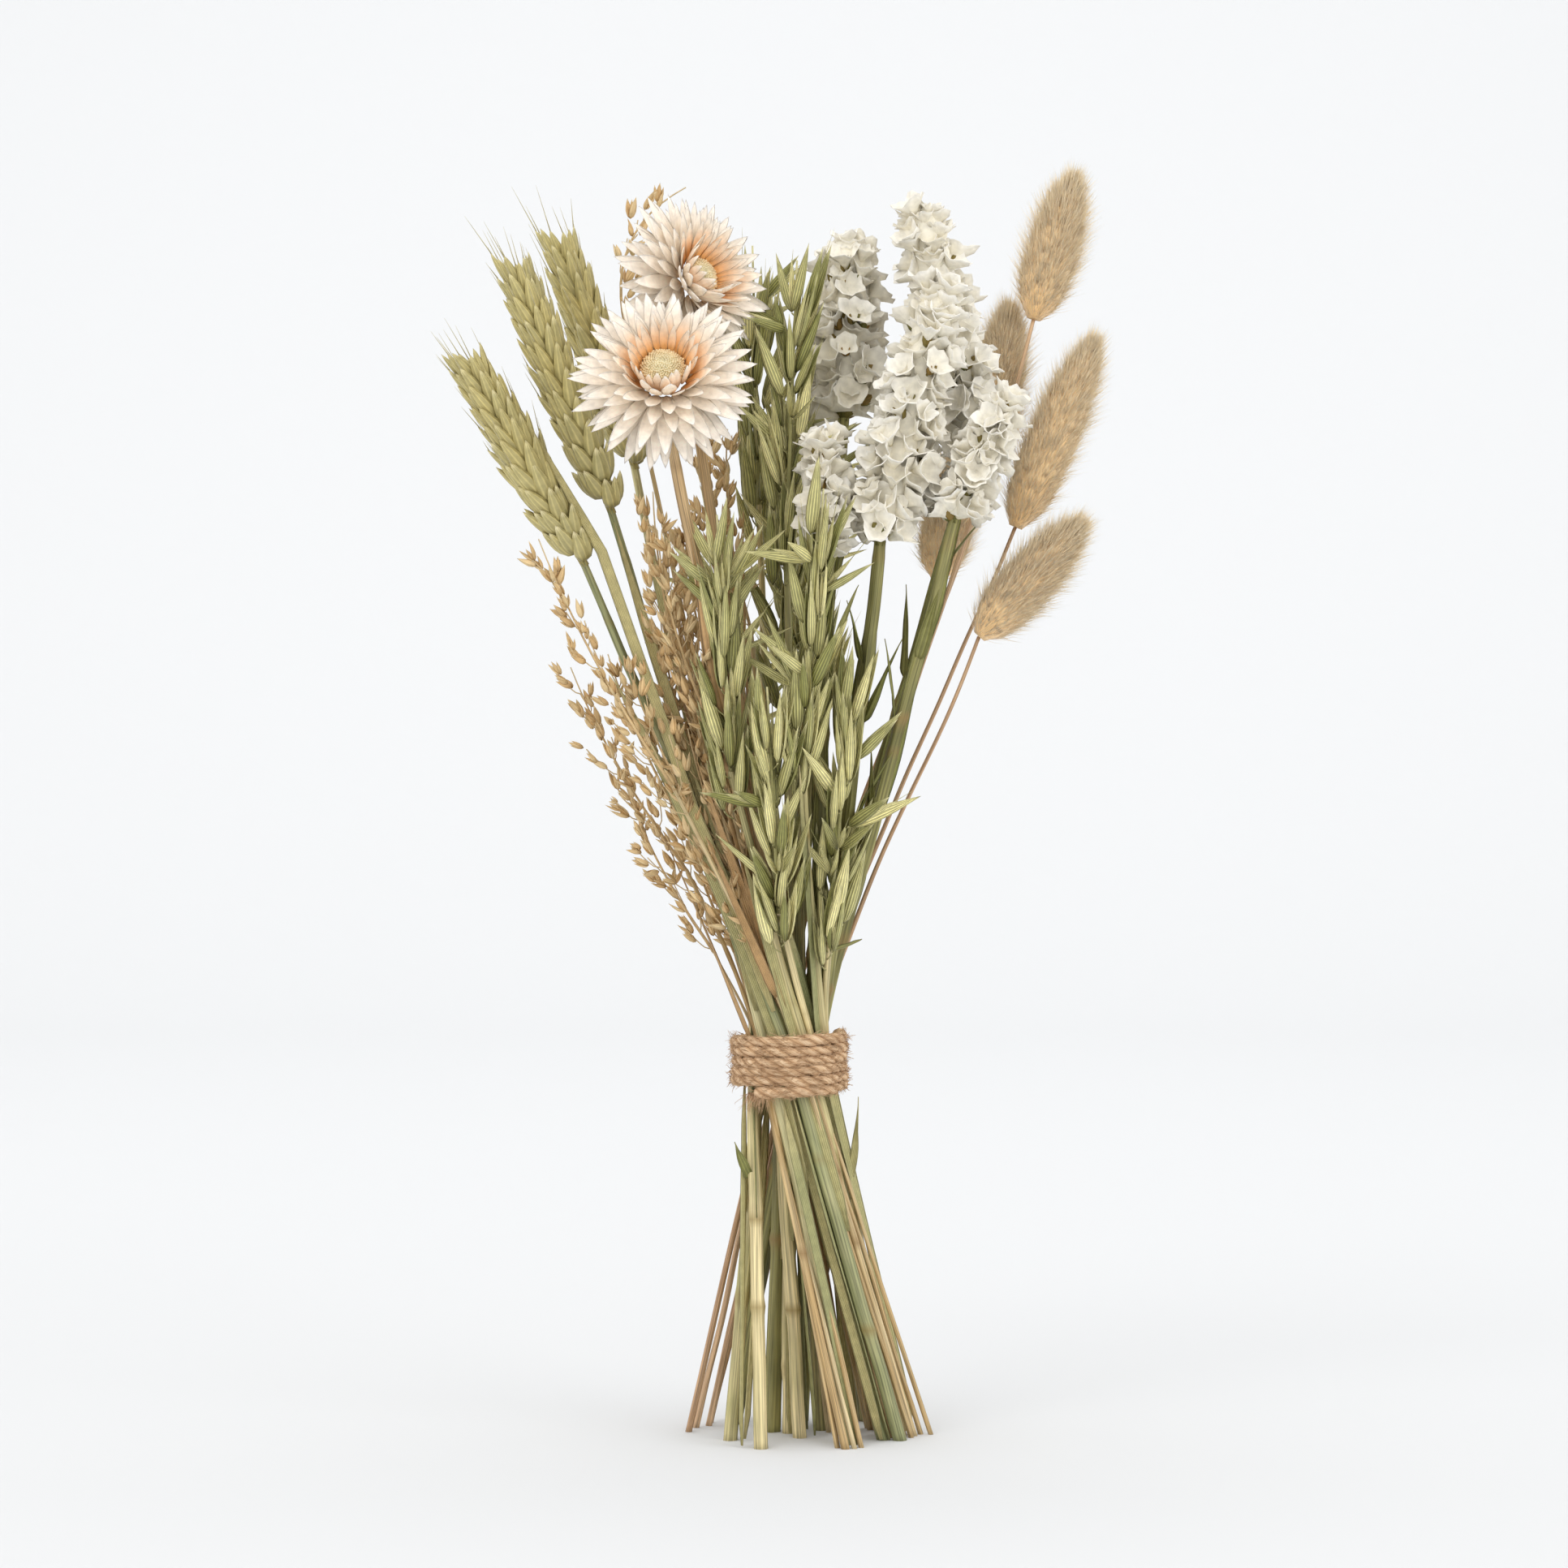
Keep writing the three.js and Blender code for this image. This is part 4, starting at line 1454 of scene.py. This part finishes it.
@dataclass
class Strip:
    """A narrow dry leaf or a leaf sheath that follows a path."""

    path: Array
    face: Array  # where its back looks
    width_mm: float
    seed: int
    twist: float = 0.6
    taper: float = 0.6  # share of the length that narrows to the tip
    wall_mm: float = 0.26
    cup: float = 0.4  # how far the edges fold up
    waves: float = 0.0  # how much the width comes and goes

    def surface(self) -> Surface:
        """A folded strip.

        Formula: the half width is w sin(pi/2 min(1, t / 0.08)) times the same sine of what is left
        of the tapered part; the edges fold up by cup |x|^1.5, and the strip turns by twist t.

        Returns:
            A thin closed leaf.
        """
        rng = np.random.default_rng(self.seed)
        path = smooth_path(self.path, max(16, len(self.path)))
        t = np.linspace(0, 1, len(path))
        rise = np.sin(0.5 * math.pi * np.clip(t / 0.08, 0.25, 1))
        fall = np.sin(0.5 * math.pi * np.clip((1 - t) / self.taper, 0.04, 1))
        wavy = 1 + self.waves * np.sin(t * len(path) * 0.55 + rng.uniform(0, 6))
        half = 0.5 * self.width_mm * MM * rise * fall * wavy
        tangent = unit(np.gradient(path, axis=0))
        face = square_to(self.face, tangent)
        side = np.cross(tangent, face)
        turn = (self.twist * t**1.5 + 0.12 * np.sin(9 * t + rng.uniform(0, 6)))[:, None]
        flat = np.cos(turn) * side + np.sin(turn) * face
        up = np.cross(flat, tangent)
        across = np.array([1.0, 0.55, 0.0, -0.55, -1.0, -0.55, 0.0, 0.55])
        wall = np.array([0.0, 0.5, 0.5, 0.5, 0.0, -0.5, -0.5, -0.5]) * self.wall_mm * MM
        fold = self.cup * np.abs(across) ** 1.5
        rings = (
            path[:, None]
            + (half[:, None] * across)[..., None] * flat[:, None]
            + (half[:, None] * fold + wall)[..., None] * up[:, None]
        )
        shares = capped(t)
        made = closed_forms(rings[None], path[:1], path[-1:], shares)
        made.tone[:] = rng.uniform(0.1, 0.9)
        return made


@dataclass
class TwineBinding:
    """Three-ply jute wound round the stems, with a frayed cut end and stray fibres."""

    centre: Array
    radius: float  # to the middle of the twine
    low: float
    high: float
    turns: float = 5.4
    diameter_mm: float = 3.45
    lay_mm: float = 14.0  # length of one twist of the plies
    first: float = -2.2  # the angle at which the lower end lies
    fibres: int = 3400
    tuft: int = 130  # fibres of the frayed end

    def path(self, share: Array) -> Array:
        """The twine's middle line at shares of its length: a helix that wanders a little."""
        angle = share * self.turns * 2 * math.pi + self.first
        wander = (
            0.16 * np.sin(angle * 1.7 + 1)
            + 0.14 * np.sin(angle * 0.63)
            + 0.12 * np.sin(angle * 4.3 + 2)
        )
        radius = self.radius + MM * (0.18 * np.sin(angle * 2.3) + 0.14 * np.sin(angle * 5.1))
        return np.stack(
            [
                self.centre[0] + radius * np.cos(angle),
                self.centre[1] + radius * np.sin(angle),
                mixed(self.low, self.high, share) + MM * wander,
            ],
            -1,
        )

    def surface(self) -> Surface:
        """The twine.

        Formula: rings square to the helix that turn once in each lay, with radius
        r (0.85 + 0.15 |cos 1.5 a|^0.8), so that three plies run along the rope.

        Returns:
            A closed rope whose mark is 1 on the crown of a ply and 0 between two, for painted shade
            in the grooves and a painted highlight on the crowns.
        """
        length = self.turns * 2 * math.pi * self.radius
        count = int(length / (0.7 * MM))
        share = np.linspace(0, 1, count)
        path = self.path(share)
        tangent = unit(np.gradient(path, axis=0))
        out = unit((path - self.centre) * LEVEL)
        n = square_to(out, tangent)
        b = np.cross(tangent, n)
        angle = angles_round(18)
        turned = angle[None] + (share * length / (self.lay_mm * MM) * 2 * math.pi)[:, None]
        crown = np.abs(np.cos(1.5 * angle)) ** 0.8
        swell = 1 + 0.06 * np.sin(share * 310) + 0.05 * np.sin(share * 127)
        radius = 0.5 * self.diameter_mm * MM * swell[:, None] * (0.85 + 0.15 * crown)
        rings = path[:, None] + radius[..., None] * (
            np.cos(turned)[..., None] * n[:, None] + np.sin(turned)[..., None] * b[:, None]
        )
        shares = capped(share)
        made = closed_forms(
            rings[None], path[:1], path[-1:], shares, (self.diameter_mm * math.pi, length / MM)
        )
        # The mark paints shade into the grooves between plies and a highlight onto the crowns.
        made.mark = np.concatenate([[0], np.tile(crown, count), [0]])
        made.tone[:] = 0.5
        return made

    def fuzz(self) -> Surface:
        """Loose fibres: most lie along the twine, some stand off, and the cut end is frayed."""
        rng = np.random.default_rng(11)
        n, tuft = self.fibres, self.tuft
        share = rng.uniform(0, 1, n)
        root = self.path(share)
        out = unit((root - self.centre) * LEVEL)
        ahead, behind = (self.path(np.clip(share + step, 0, 1)) for step in (0.001, -0.001))
        along = unit(ahead - behind)
        spin = rng.uniform(-1.5, 1.5, (n, 1))
        skin = np.cos(spin) * out + np.sin(spin) * UP
        loose = rng.random((n, 1)) < 0.3
        aim = unit(
            skin * np.where(loose, rng.uniform(0.3, 1, (n, 1)), rng.uniform(0.0, 0.16, (n, 1)))
            + along * rng.choice([-1, 1], (n, 1))
            + UP * rng.normal(0, 0.28, (n, 1))
        )
        root = root + skin * self.diameter_mm * rng.uniform(0.46, 0.52, (n, 1)) * MM
        down = self.path(np.full(tuft, 0.004)) - self.path(np.zeros(tuft))
        end_root = self.path(np.zeros(tuft)) - down * rng.uniform(-2, 1.5, (tuft, 1))
        end_aim = unit(np.array([-0.25, -0.3, -0.9]) + rng.normal(0, 0.45, (tuft, 3)))
        root, aim = np.concatenate([root, end_root]), np.concatenate([aim, end_aim])
        reach = np.concatenate([rng.uniform(1.2, 3.6, n), rng.uniform(2, 6.5, tuft)])
        reach = reach[:, None, None] * MM
        bend = np.concatenate([np.where(loose, 0.5, 0.12), np.full((tuft, 1), 0.9)])
        curl = (bend * rng.normal(0, 1, (n + tuft, 3)))[:, None]
        t = steps(5)
        paths = root[:, None] + reach * (aim[:, None] * t + curl * t**2 * (1.2 - t))
        thin = np.array([0.09, 0.09, 0.08, 0.06, 0.02]) * MM
        made = tubes(paths, thin[None].repeat(n + tuft, 0), 3, np.full(n + tuft, 0.5))
        made.mark = np.repeat(rng.uniform(0.3, 1.0, n + tuft), len(made.points) // (n + tuft))
        return made


# ------------------------------------------------------------------ the bunch


@dataclass
class Plant:
    """One plant: its kind, its number, its stem's spine and its head's place."""

    kind: Kind
    number: int
    spine: Spine
    head: Head
    stem_node: str
    head_node: str

    @property
    def seed(self) -> int:
        """A number of the plant's own, the same on every run."""
        return 1000 * (list(Kind).index(self.kind) + 1) + 10 * self.number


class Bunch:
    """The whole bunch, plant by plant."""

    def __init__(self, nodes: dict[str, bpy.types.Object]) -> None:
        """Finds each plant's stem and head among the solids.

        Args:
            nodes: the solids, by name.
        """
        self.nodes = nodes
        self.tie_centre = np.mean(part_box("twine_binding"), axis=0)
        self.plants: list[Plant] = []
        for kind in Kind:
            number = 1
            while f"{kind.value}_stem_{number}" in nodes:
                stem, head = f"{kind.value}_stem_{number}", f"{HEAD_NODES[kind]}_{number}"
                spine = Spine.inside(nodes[stem])
                self.plants.append(
                    Plant(kind, number, spine, Head.over(spine, nodes[head]), stem, head)
                )
                number += 1

    def build(self) -> None:
        """Makes every piece."""
        for plant in self.plants:
            stalk = Stalk(plant.spine, STALKS[plant.kind], plant.seed)
            make_piece(
                f"{plant.stem_node}_straw", stalk.surface(), STRAWS[plant.kind], [plant.stem_node]
            )
            getattr(self, f"build_{plant.kind.value}")(plant)
        self.build_leaves()
        self.build_twine()

    def build_wheat(self, plant: Plant) -> None:
        """A wheat ear."""
        ear = WheatEar(plant.head, plant.seed)
        make_piece(f"{plant.head_node}_husks", ear.surfaces(), WHEAT_CHAFF, [plant.head_node])

    def build_oat(self, plant: Plant) -> None:
        """An oat panicle."""
        panicle = OatPanicle(plant.head, plant.seed, last_lean=0.85 if plant.number == 2 else 0.05)
        make_piece(f"{plant.head_node}_husks", panicle.surfaces(), OAT_CHAFF, [plant.head_node])

    def build_grass(self, plant: Plant) -> None:
        """A tuft of grass: its main panicle, and thinner stalks with panicles of their own."""
        sparse = plant.number == 1
        plant.head.bow_mm = (-10.0, 0.0, 5.0) if sparse else (-3.0, 0.0, 0.0)
        panicle = GrassPanicle(plant.head, plant.seed)
        if sparse:
            husk_mm = (2.3, 1.0, 6.4)
            panicle = replace(
                panicle, branches=22, per_branch=1, branch_mm=5.0, husk_mm=husk_mm, start=-0.5
            )
        make_piece(f"{plant.head_node}_husks", panicle.surfaces(), GRASS_CHAFF, [plant.head_node])
        if not sparse:
            self.tuft(plant, 4, 0.0, 0.62, plant.head.length * 0.85)

    def tuft(self, plant: Plant, count: int, below: float, thin: float, length: float) -> None:
        """Thin grass beside a plant's stem, each stalk with a panicle of its own.

        Args:
            plant: the plant that it grows beside.
            count: how many stalks.
            below: how far under the stem's top the panicles start, in metres.
            thin: the stalks' radii as a share of the stem's.
            length: of each panicle, in metres.
        """
        stalks, sprays = [], []
        for i in range(count):
            spine = self.beside(plant, i)
            keep = spine.path[:, 2] <= spine.path[-1, 2] - below
            spine = Spine(spine.path[keep], spine.radii[keep] * thin)
            stalks.append(Stalk(spine, STALKS[Kind.GRASS], plant.seed + i + 1, 8, 4.0).surface())
            aim = unit(plant.head.axis * (below == 0) + 6 * unit(spine.path[-1] - spine.path[-2]))
            head = Head(spine.path[-1], aim, length, (-3.0, 0.0, 0.0))
            spray = GrassPanicle(head, plant.seed + i + 1, 10, 3, 13.0, start=0.0)
            sprays.append(spray.surfaces())
        make_piece(f"{plant.stem_node}_grass_stalks", joined(stalks), STRAWS[Kind.GRASS], [])
        make_piece(f"{plant.stem_node}_grass_sprays", joined(sprays), GRASS_CHAFF, [])

    def beside(self, plant: Plant, index: int) -> Spine:
        """A thinner stalk, close to a plant's stem at the tie and parted from it elsewhere.

        Formula: path + at the tie a touching distance along the ring and inwards, plus spreads that
        grow below it and above it.

        Args:
            plant: the plant that it belongs to.
            index: which of its stalks it is.

        Returns:
            The stalk's spine.
        """
        rng = np.random.default_rng(plant.seed + THIN_STALK_SEED + index)
        path = plant.spine.path.copy()
        tie = self.tie_centre
        hold = plant.spine.at(tie[2]) - tie
        inwards = -unit(hold * LEVEL)
        along = np.cross(UP, inwards) * (1 if index % 2 else -1)
        touch = (along * (1.4 + 0.7 * index) + inwards * (0.6 + 0.8 * index)) * MM
        low = rng.uniform(-4.5, 4.5, 3) * MM * LEVEL
        high = np.array([rng.uniform(-9, 9), rng.uniform(2, 18), 0]) * MM
        z = path[:, 2]
        below = np.clip((tie[2] - z) / tie[2], 0, 1)[:, None]
        above = np.clip((z - tie[2]) / (z[-1] - tie[2]), 0, 1)[:, None]
        moved = path + touch + low * below + high * above**1.3
        keep = z <= z[-1] * rng.uniform(0.8, 1.0)
        return Spine(moved[keep], plant.spine.radii[keep])

    def build_statice(self, plant: Plant) -> None:
        """A statice spike: its calyces and their cups. A short spike is a slimmer one."""
        spike = StaticeSpike(plant.head, plant.seed)
        if plant.head.length < SHORT_SPIKE_MM * MM:
            spike = replace(spike, ring_mm=3.0, calyx_mm=5.6, calyx_length_mm=7.4)
        make_piece(f"{plant.head_node}_calyces", spike.petals(), CALYX, [plant.head_node])
        make_piece(f"{plant.head_node}_cups", spike.cups(), CALYX_BASE, [])

    def build_bunny_tail(self, plant: Plant) -> None:
        """A bunny tail: its down and its hairs."""
        tail = BunnyTail(plant.head, plant.seed)
        make_piece(f"{plant.head_node}_down", tail.down(), TAIL_CORE, [plant.head_node])
        make_piece(f"{plant.head_node}_hairs", tail.hair(), TAIL_HAIR, [])

    def build_strawflower(self, plant: Plant) -> None:
        """A strawflower: its outer and inner bracts and its disc."""
        disc_node = f"strawflower_disc_{plant.number}"
        points = points_of(self.nodes[disc_node])
        middle = points.mean(0)
        _, _, axes = np.linalg.svd(points - middle)
        axis = axes[2] if np.dot(axes[2], middle - plant.head.base) > 0 else -axes[2]
        reach = (points - middle) @ axis
        centre = middle + axis * reach.min()
        across = np.linalg.norm(points - middle - np.outer(reach, axis), axis=1).max()
        spread = 1.0 if plant.number == 1 else 1.14
        flower = Strawflower(centre, axis, plant.seed, across / (UNIT_DISC_MM * MM), spread=spread)
        make_piece(
            f"{plant.head_node}_outer", flower.whorls(flower.outer, plant.seed), BRACT,
            [plant.head_node],
        )
        make_piece(
            f"{plant.head_node}_inner", flower.whorls(flower.inner, plant.seed + 9), INNER_BRACT, []
        )
        make_piece(f"{disc_node}_florets", flower.disc(), FLORET, [disc_node])
        self.tuft(plant, 4, 66 * MM, 0.4, 62 * MM)

    def outermost(self, height_mm: float, direction: tuple[float, float, float]) -> Array:
        """The point of the outermost stem in a direction, at a height, on its skin."""
        aim = unit(np.array(direction))
        height = height_mm * MM
        found = [p.spine.at(height) for p in self.plants if p.spine.path[-1, 2] > height]
        return max(found, key=lambda point: float(point @ aim)) + 1.4 * MM * aim

    def build_leaves(self) -> None:
        """The leaves: a strawflower's, the statice's, the cereals' sheaths and small scraps."""
        spine = Spine.inside(self.nodes["strawflower_leaf"])
        leaf = Strip(spine.path, FRONT, 7.5, 5, 2.2, 0.75)
        make_piece("strawflower_leaf_blade", leaf.surface(), DRY_LEAF, ["strawflower_leaf"])
        green, pale, brown = [], [], []
        for plant in self.plants:
            rng = np.random.default_rng(plant.seed + LEAVES_SEED)
            top = plant.spine.path[-1, 2] / MM
            if plant.kind is Kind.STATICE:
                for heading in rng.uniform(0, 2) + np.array([0, 2.2, 4.1]):
                    green.append(self.wing(plant, heading))
                for share in (0.1, 0.4, 0.7, 1.0):
                    start = mixed(150, top - 24, share * rng.uniform(0.8, 1)) * MM
                    green.append(self.leaf_beside(plant, start, rng, rng.uniform(16, 32), 4.2, 0.3))
            if plant.kind in (Kind.STRAWFLOWER, Kind.GRASS) and top > 150:
                for share in (0.0, 0.3, 0.6):
                    start = mixed(OVER_TIE_MM, top - 60, share * rng.uniform(0.8, 1)) * MM
                    length = rng.uniform(45, 75)
                    brown.append(self.leaf_beside(plant, start, rng, length, 3.2, 0.08))
            if plant.kind is Kind.WHEAT:
                pale.append(self.flag_leaf(plant))
            if plant.kind in (Kind.OAT, Kind.WHEAT):
                pale.append(self.sheath(plant, rng, 62, 190))
                pale.append(self.lower_sheath(plant, rng))
                pale.append(self.sheath(plant, rng, 100, min(top - 5, 235)))
        for leaves, place, aim, length_mm, bow_mm, face, width_mm, seed, twist in (
            (green, (146, (1, -0.3, 0)), (1, -0.2, 0.25), 9, (0, 0, 1.5), UP, 4.4, 7, 0.4),
            (green, (78, (-1, -0.2, 0)), (-0.4, -0.3, 1), 10, (-1, 0, 2), FRONT, 3.0, 8, 0.9),
            (pale, (76, (1, -0.2, 0)), (0.25, -0.2, 1), 24, (-3, 0, 3), FRONT, 2.4, 9, 1.6),
        ):
            path = bowed(self.outermost(*place), np.array(aim), length_mm, bow_mm)
            leaves.append(Strip(path, face, width_mm, seed, twist).surface())
        make_piece("statice_leaves", joined(green), GREEN_LEAF, [])
        make_piece("cereal_sheaths", joined(pale), OAT_LEAF, [])
        make_piece("curled_brown_leaves", joined(brown), DRY_LEAF, [])

    def leaf_beside(
        self, plant: Plant, start: float, rng: np.random.Generator, length: float, width: float,
        lean: float,
    ) -> Surface:
        """A leaf that leaves a stem at a height and rises beside it."""
        root = plant.spine.at(start)
        rise = unit(plant.spine.at(start + 12 * MM) - root)
        heading = rng.uniform(0, 2 * math.pi)
        frame = frames_towards(rise[None], FRONT[None])[0]
        out = outwards(np.array([heading]), frame)[0]
        path = bowed(root + out * 1.2 * MM, rise + lean * out, length, 2.5 * out)
        width *= rng.uniform(0.7, 1.1)
        return Strip(path, out, width, plant.seed + LEAF_SEED, 0.5, 0.8).surface()

    def wing(self, plant: Plant, heading: float) -> Surface:
        """A wavy wing along a statice stem, on one side of it."""
        top = plant.spine.path[-1, 2] / MM
        z = np.linspace(WINGS_FROM_MM, top - 2, 26) * MM
        out = np.array([math.cos(heading), math.sin(heading), 0.0])
        path = plant.spine.at(z) + 1.3 * MM * out
        seed = plant.seed + int(9 * heading)
        return Strip(path, np.cross(UP, out), 2.3, seed, 0.9, 0.25, waves=0.5).surface()

    def flag_leaf(self, plant: Plant) -> Surface:
        """The broad sheath on a wheat stem's front; the first plant's ends in a leaf."""
        top = plant.spine.path[-1, 2]
        z = np.linspace(OVER_TIE_MM * MM, top - 4 * MM, 16)
        path = plant.spine.at(z) + 2.1 * MM * FRONT
        if plant.number == 1:
            path = np.concatenate([path[:-3], plant.head.along(np.linspace(0.05, 0.75, 5))])
            ease = np.clip((path[:, 2:] - 0.19) / 0.07, 0, 1)
            path += ease * np.array([7.5, -3.0, 0.0]) * MM
        seed = plant.seed + FLAG_LEAF_SEED
        return Strip(path, -FRONT, 3.5, seed, 0.25, 0.3, 0.3, -0.35).surface()

    def sheath(
        self, plant: Plant, rng: np.random.Generator, low_mm: float, high_mm: float
    ) -> Surface:
        """A flat sheath that clasps a stem, and parts from it near its tip."""
        low = low_mm + rng.uniform(-12, 12)
        high = max(low + 30, high_mm + rng.uniform(-25, 25))
        z = np.linspace(low, min(high, plant.spine.path[-1, 2] / MM - 2), 14) * MM
        path = plant.spine.at(z)
        hold = plant.spine.at(self.tie_centre[2]) - self.tie_centre
        inwards = -unit(hold * LEVEL + 1e-6 * FRONT)
        along = np.cross(UP, inwards) * rng.choice([-1, 1])
        out = unit(along + 0.15 * inwards)
        t = np.linspace(0, 1, 14)[:, None]
        free = np.clip((z - LOOSE_FROM) / 0.1, 0, 1)[:, None] ** 1.5
        path = path + out * 2.5 * MM + (4.0 * along - 1.5 * inwards) * free * t * MM
        width, seed = rng.uniform(3.0, 4.4), plant.seed + SHEATH_SEED
        return Strip(path, -inwards, width, seed, 0.4, 0.35, 0.3, 0.25).surface()

    def lower_sheath(self, plant: Plant, rng: np.random.Generator) -> Surface:
        """An old sheath beside the lower part of a stem, cut off level with it."""
        z = np.linspace(0.6, rng.uniform(96, 124), 16) * MM
        path = plant.spine.at(z)
        heading = rng.uniform(0, 2 * math.pi)
        out = np.array([math.cos(heading), math.sin(heading), 0.0])
        loose = np.clip(1 - z / 0.09, 0, 1)[:, None]
        path = path + out * MM * (2.4 + rng.uniform(0.5, 3.5) * loose)
        width, seed = rng.uniform(2.6, 3.8), plant.seed + LOWER_SHEATH_SEED
        return Strip(path, out, width, seed, 0.3, 0.15, 0.4, 0.5).surface()

    def build_twine(self) -> None:
        """The jute binding."""
        low, high = (np.array(corner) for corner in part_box("twine_binding"))
        half = SOLID_TWINE_MM / 2 * MM
        twine = TwineBinding(
            (low + high) / 2, float(high[0] - low[0]) / 2 - half, low[2] + half, high[2] - half
        )
        make_piece("twine_binding_rope", twine.surface(), TWINE, ["twine_binding"])
        make_piece("twine_binding_fibres", twine.fuzz(), TWINE, [])


# ------------------------------------------------------------------ studio


def facing(place: tuple[float, float, float], aim: tuple[float, float, float]) -> Matrix:
    """The place and turn of a camera or a lamp that faces a point."""
    matrix = np.eye(4)
    matrix[:3, :3] = frames_towards(np.subtract(place, aim)[None], UP[None])[0]
    matrix[:3, 3] = place
    return Matrix(matrix.tolist())


@dataclass
class Studio:
    """A pale sweep, soft lights and the camera."""

    distance: float = 1.4
    camera_height: float = 0.225
    aim: tuple[float, float, float] = (-0.0015, 0.0, 0.1954)
    view_width: float = 0.4706  # at the middle of the bunch
    sensor_mm: float = 36.0
    floor_colour: str = "#dbdcdd"
    air_colour: str = "#fefefe"
    air_strength: float = 1.12

    def sweep(self) -> None:
        """The floor, which curves up into a wall behind.

        Formula: a profile of a flat run, a quarter circle and a straight wall, carried along x.
        """
        bend = np.linspace(0, math.pi / 2, 24)
        back, radius = 1.6, 1.2
        y = np.concatenate([[-3.0], back + radius * np.sin(bend), [back + radius]])
        z = np.concatenate([[0.0], radius - radius * np.cos(bend), [4.0]])
        x = np.linspace(-5, 5, 3)
        points = np.stack(
            [np.tile(x, len(y)), np.repeat(y, len(x)), np.repeat(z, len(x))], -1
        )
        i, j = (a.ravel() for a in np.meshgrid(np.arange(len(y) - 1), np.arange(2), indexing="ij"))
        faces = np.stack([i * 3 + j, i * 3 + j + 1, (i + 1) * 3 + j + 1, (i + 1) * 3 + j], -1)
        mesh = bpy.data.meshes.new("studio_floor")
        mesh.from_pydata(points.tolist(), [], faces.tolist())
        mesh.polygons.foreach_set("use_smooth", np.ones(len(faces), bool))
        material, _, shader = blank_material("matte_white_paper")
        shader.inputs["Base Color"].default_value = linear(self.floor_colour)
        shader.inputs["Roughness"].default_value = 0.9
        mesh.materials.append(material)
        floor = placed("studio_floor", mesh)

    def light(
        self,
        name: str,
        place: tuple[float, float, float],
        size: float,
        power: float,
        aim: tuple[float, float, float] = (0.0, 0.0, 0.2),
    ) -> None:
        """A square soft light that faces the middle of the bunch, or another point."""
        lamp = bpy.data.lights.new(name, "AREA")
        lamp.size, lamp.energy = size, power
        placed(name, lamp).matrix_world = facing(place, aim)

    def world(self) -> None:
        """A white surround."""
        world = bpy.data.worlds.new("studio_air")
        world.use_nodes = True
        background = world.node_tree.nodes["Background"]
        background.inputs["Color"].default_value = linear(self.air_colour)
        background.inputs["Strength"].default_value = self.air_strength
        bpy.context.scene.world = world

    def camera(self) -> None:
        """A long lens in front of the bunch."""
        data = bpy.data.cameras.new("camera")
        data.sensor_width = self.sensor_mm
        data.lens = self.sensor_mm * self.distance / self.view_width
        camera = placed("camera", data)
        camera.matrix_world = facing((self.aim[0], -self.distance, self.camera_height), self.aim)
        bpy.context.scene.camera = camera

    def build(self) -> None:
        """Sets up the floor, the lights and the camera."""
        self.sweep()
        self.world()
        self.light("key", (-1.2, -1.6, 2.0), 1.3, 11)
        self.light("fill", (1.7, -1.5, 1.1), 1.6, 10)
        self.light("backdrop", (0.0, 1.0, 2.4), 2.0, 14, (0.0, 2.7, 0.5))
        bpy.context.scene.view_settings.view_transform = "Standard"
        self.camera()


def clear() -> None:
    """Empties the file's starting scene."""
    for thing in list(bpy.data.objects):
        bpy.data.objects.remove(thing)


def main() -> None:
    """Builds the bunch and its studio."""
    logging.basicConfig(level=logging.INFO, format="%(message)s")
    clear()
    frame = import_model()
    bunch = Bunch(frame["nodes"])
    bunch.build()
    Studio().build()


if __name__ == "__main__":
    main()
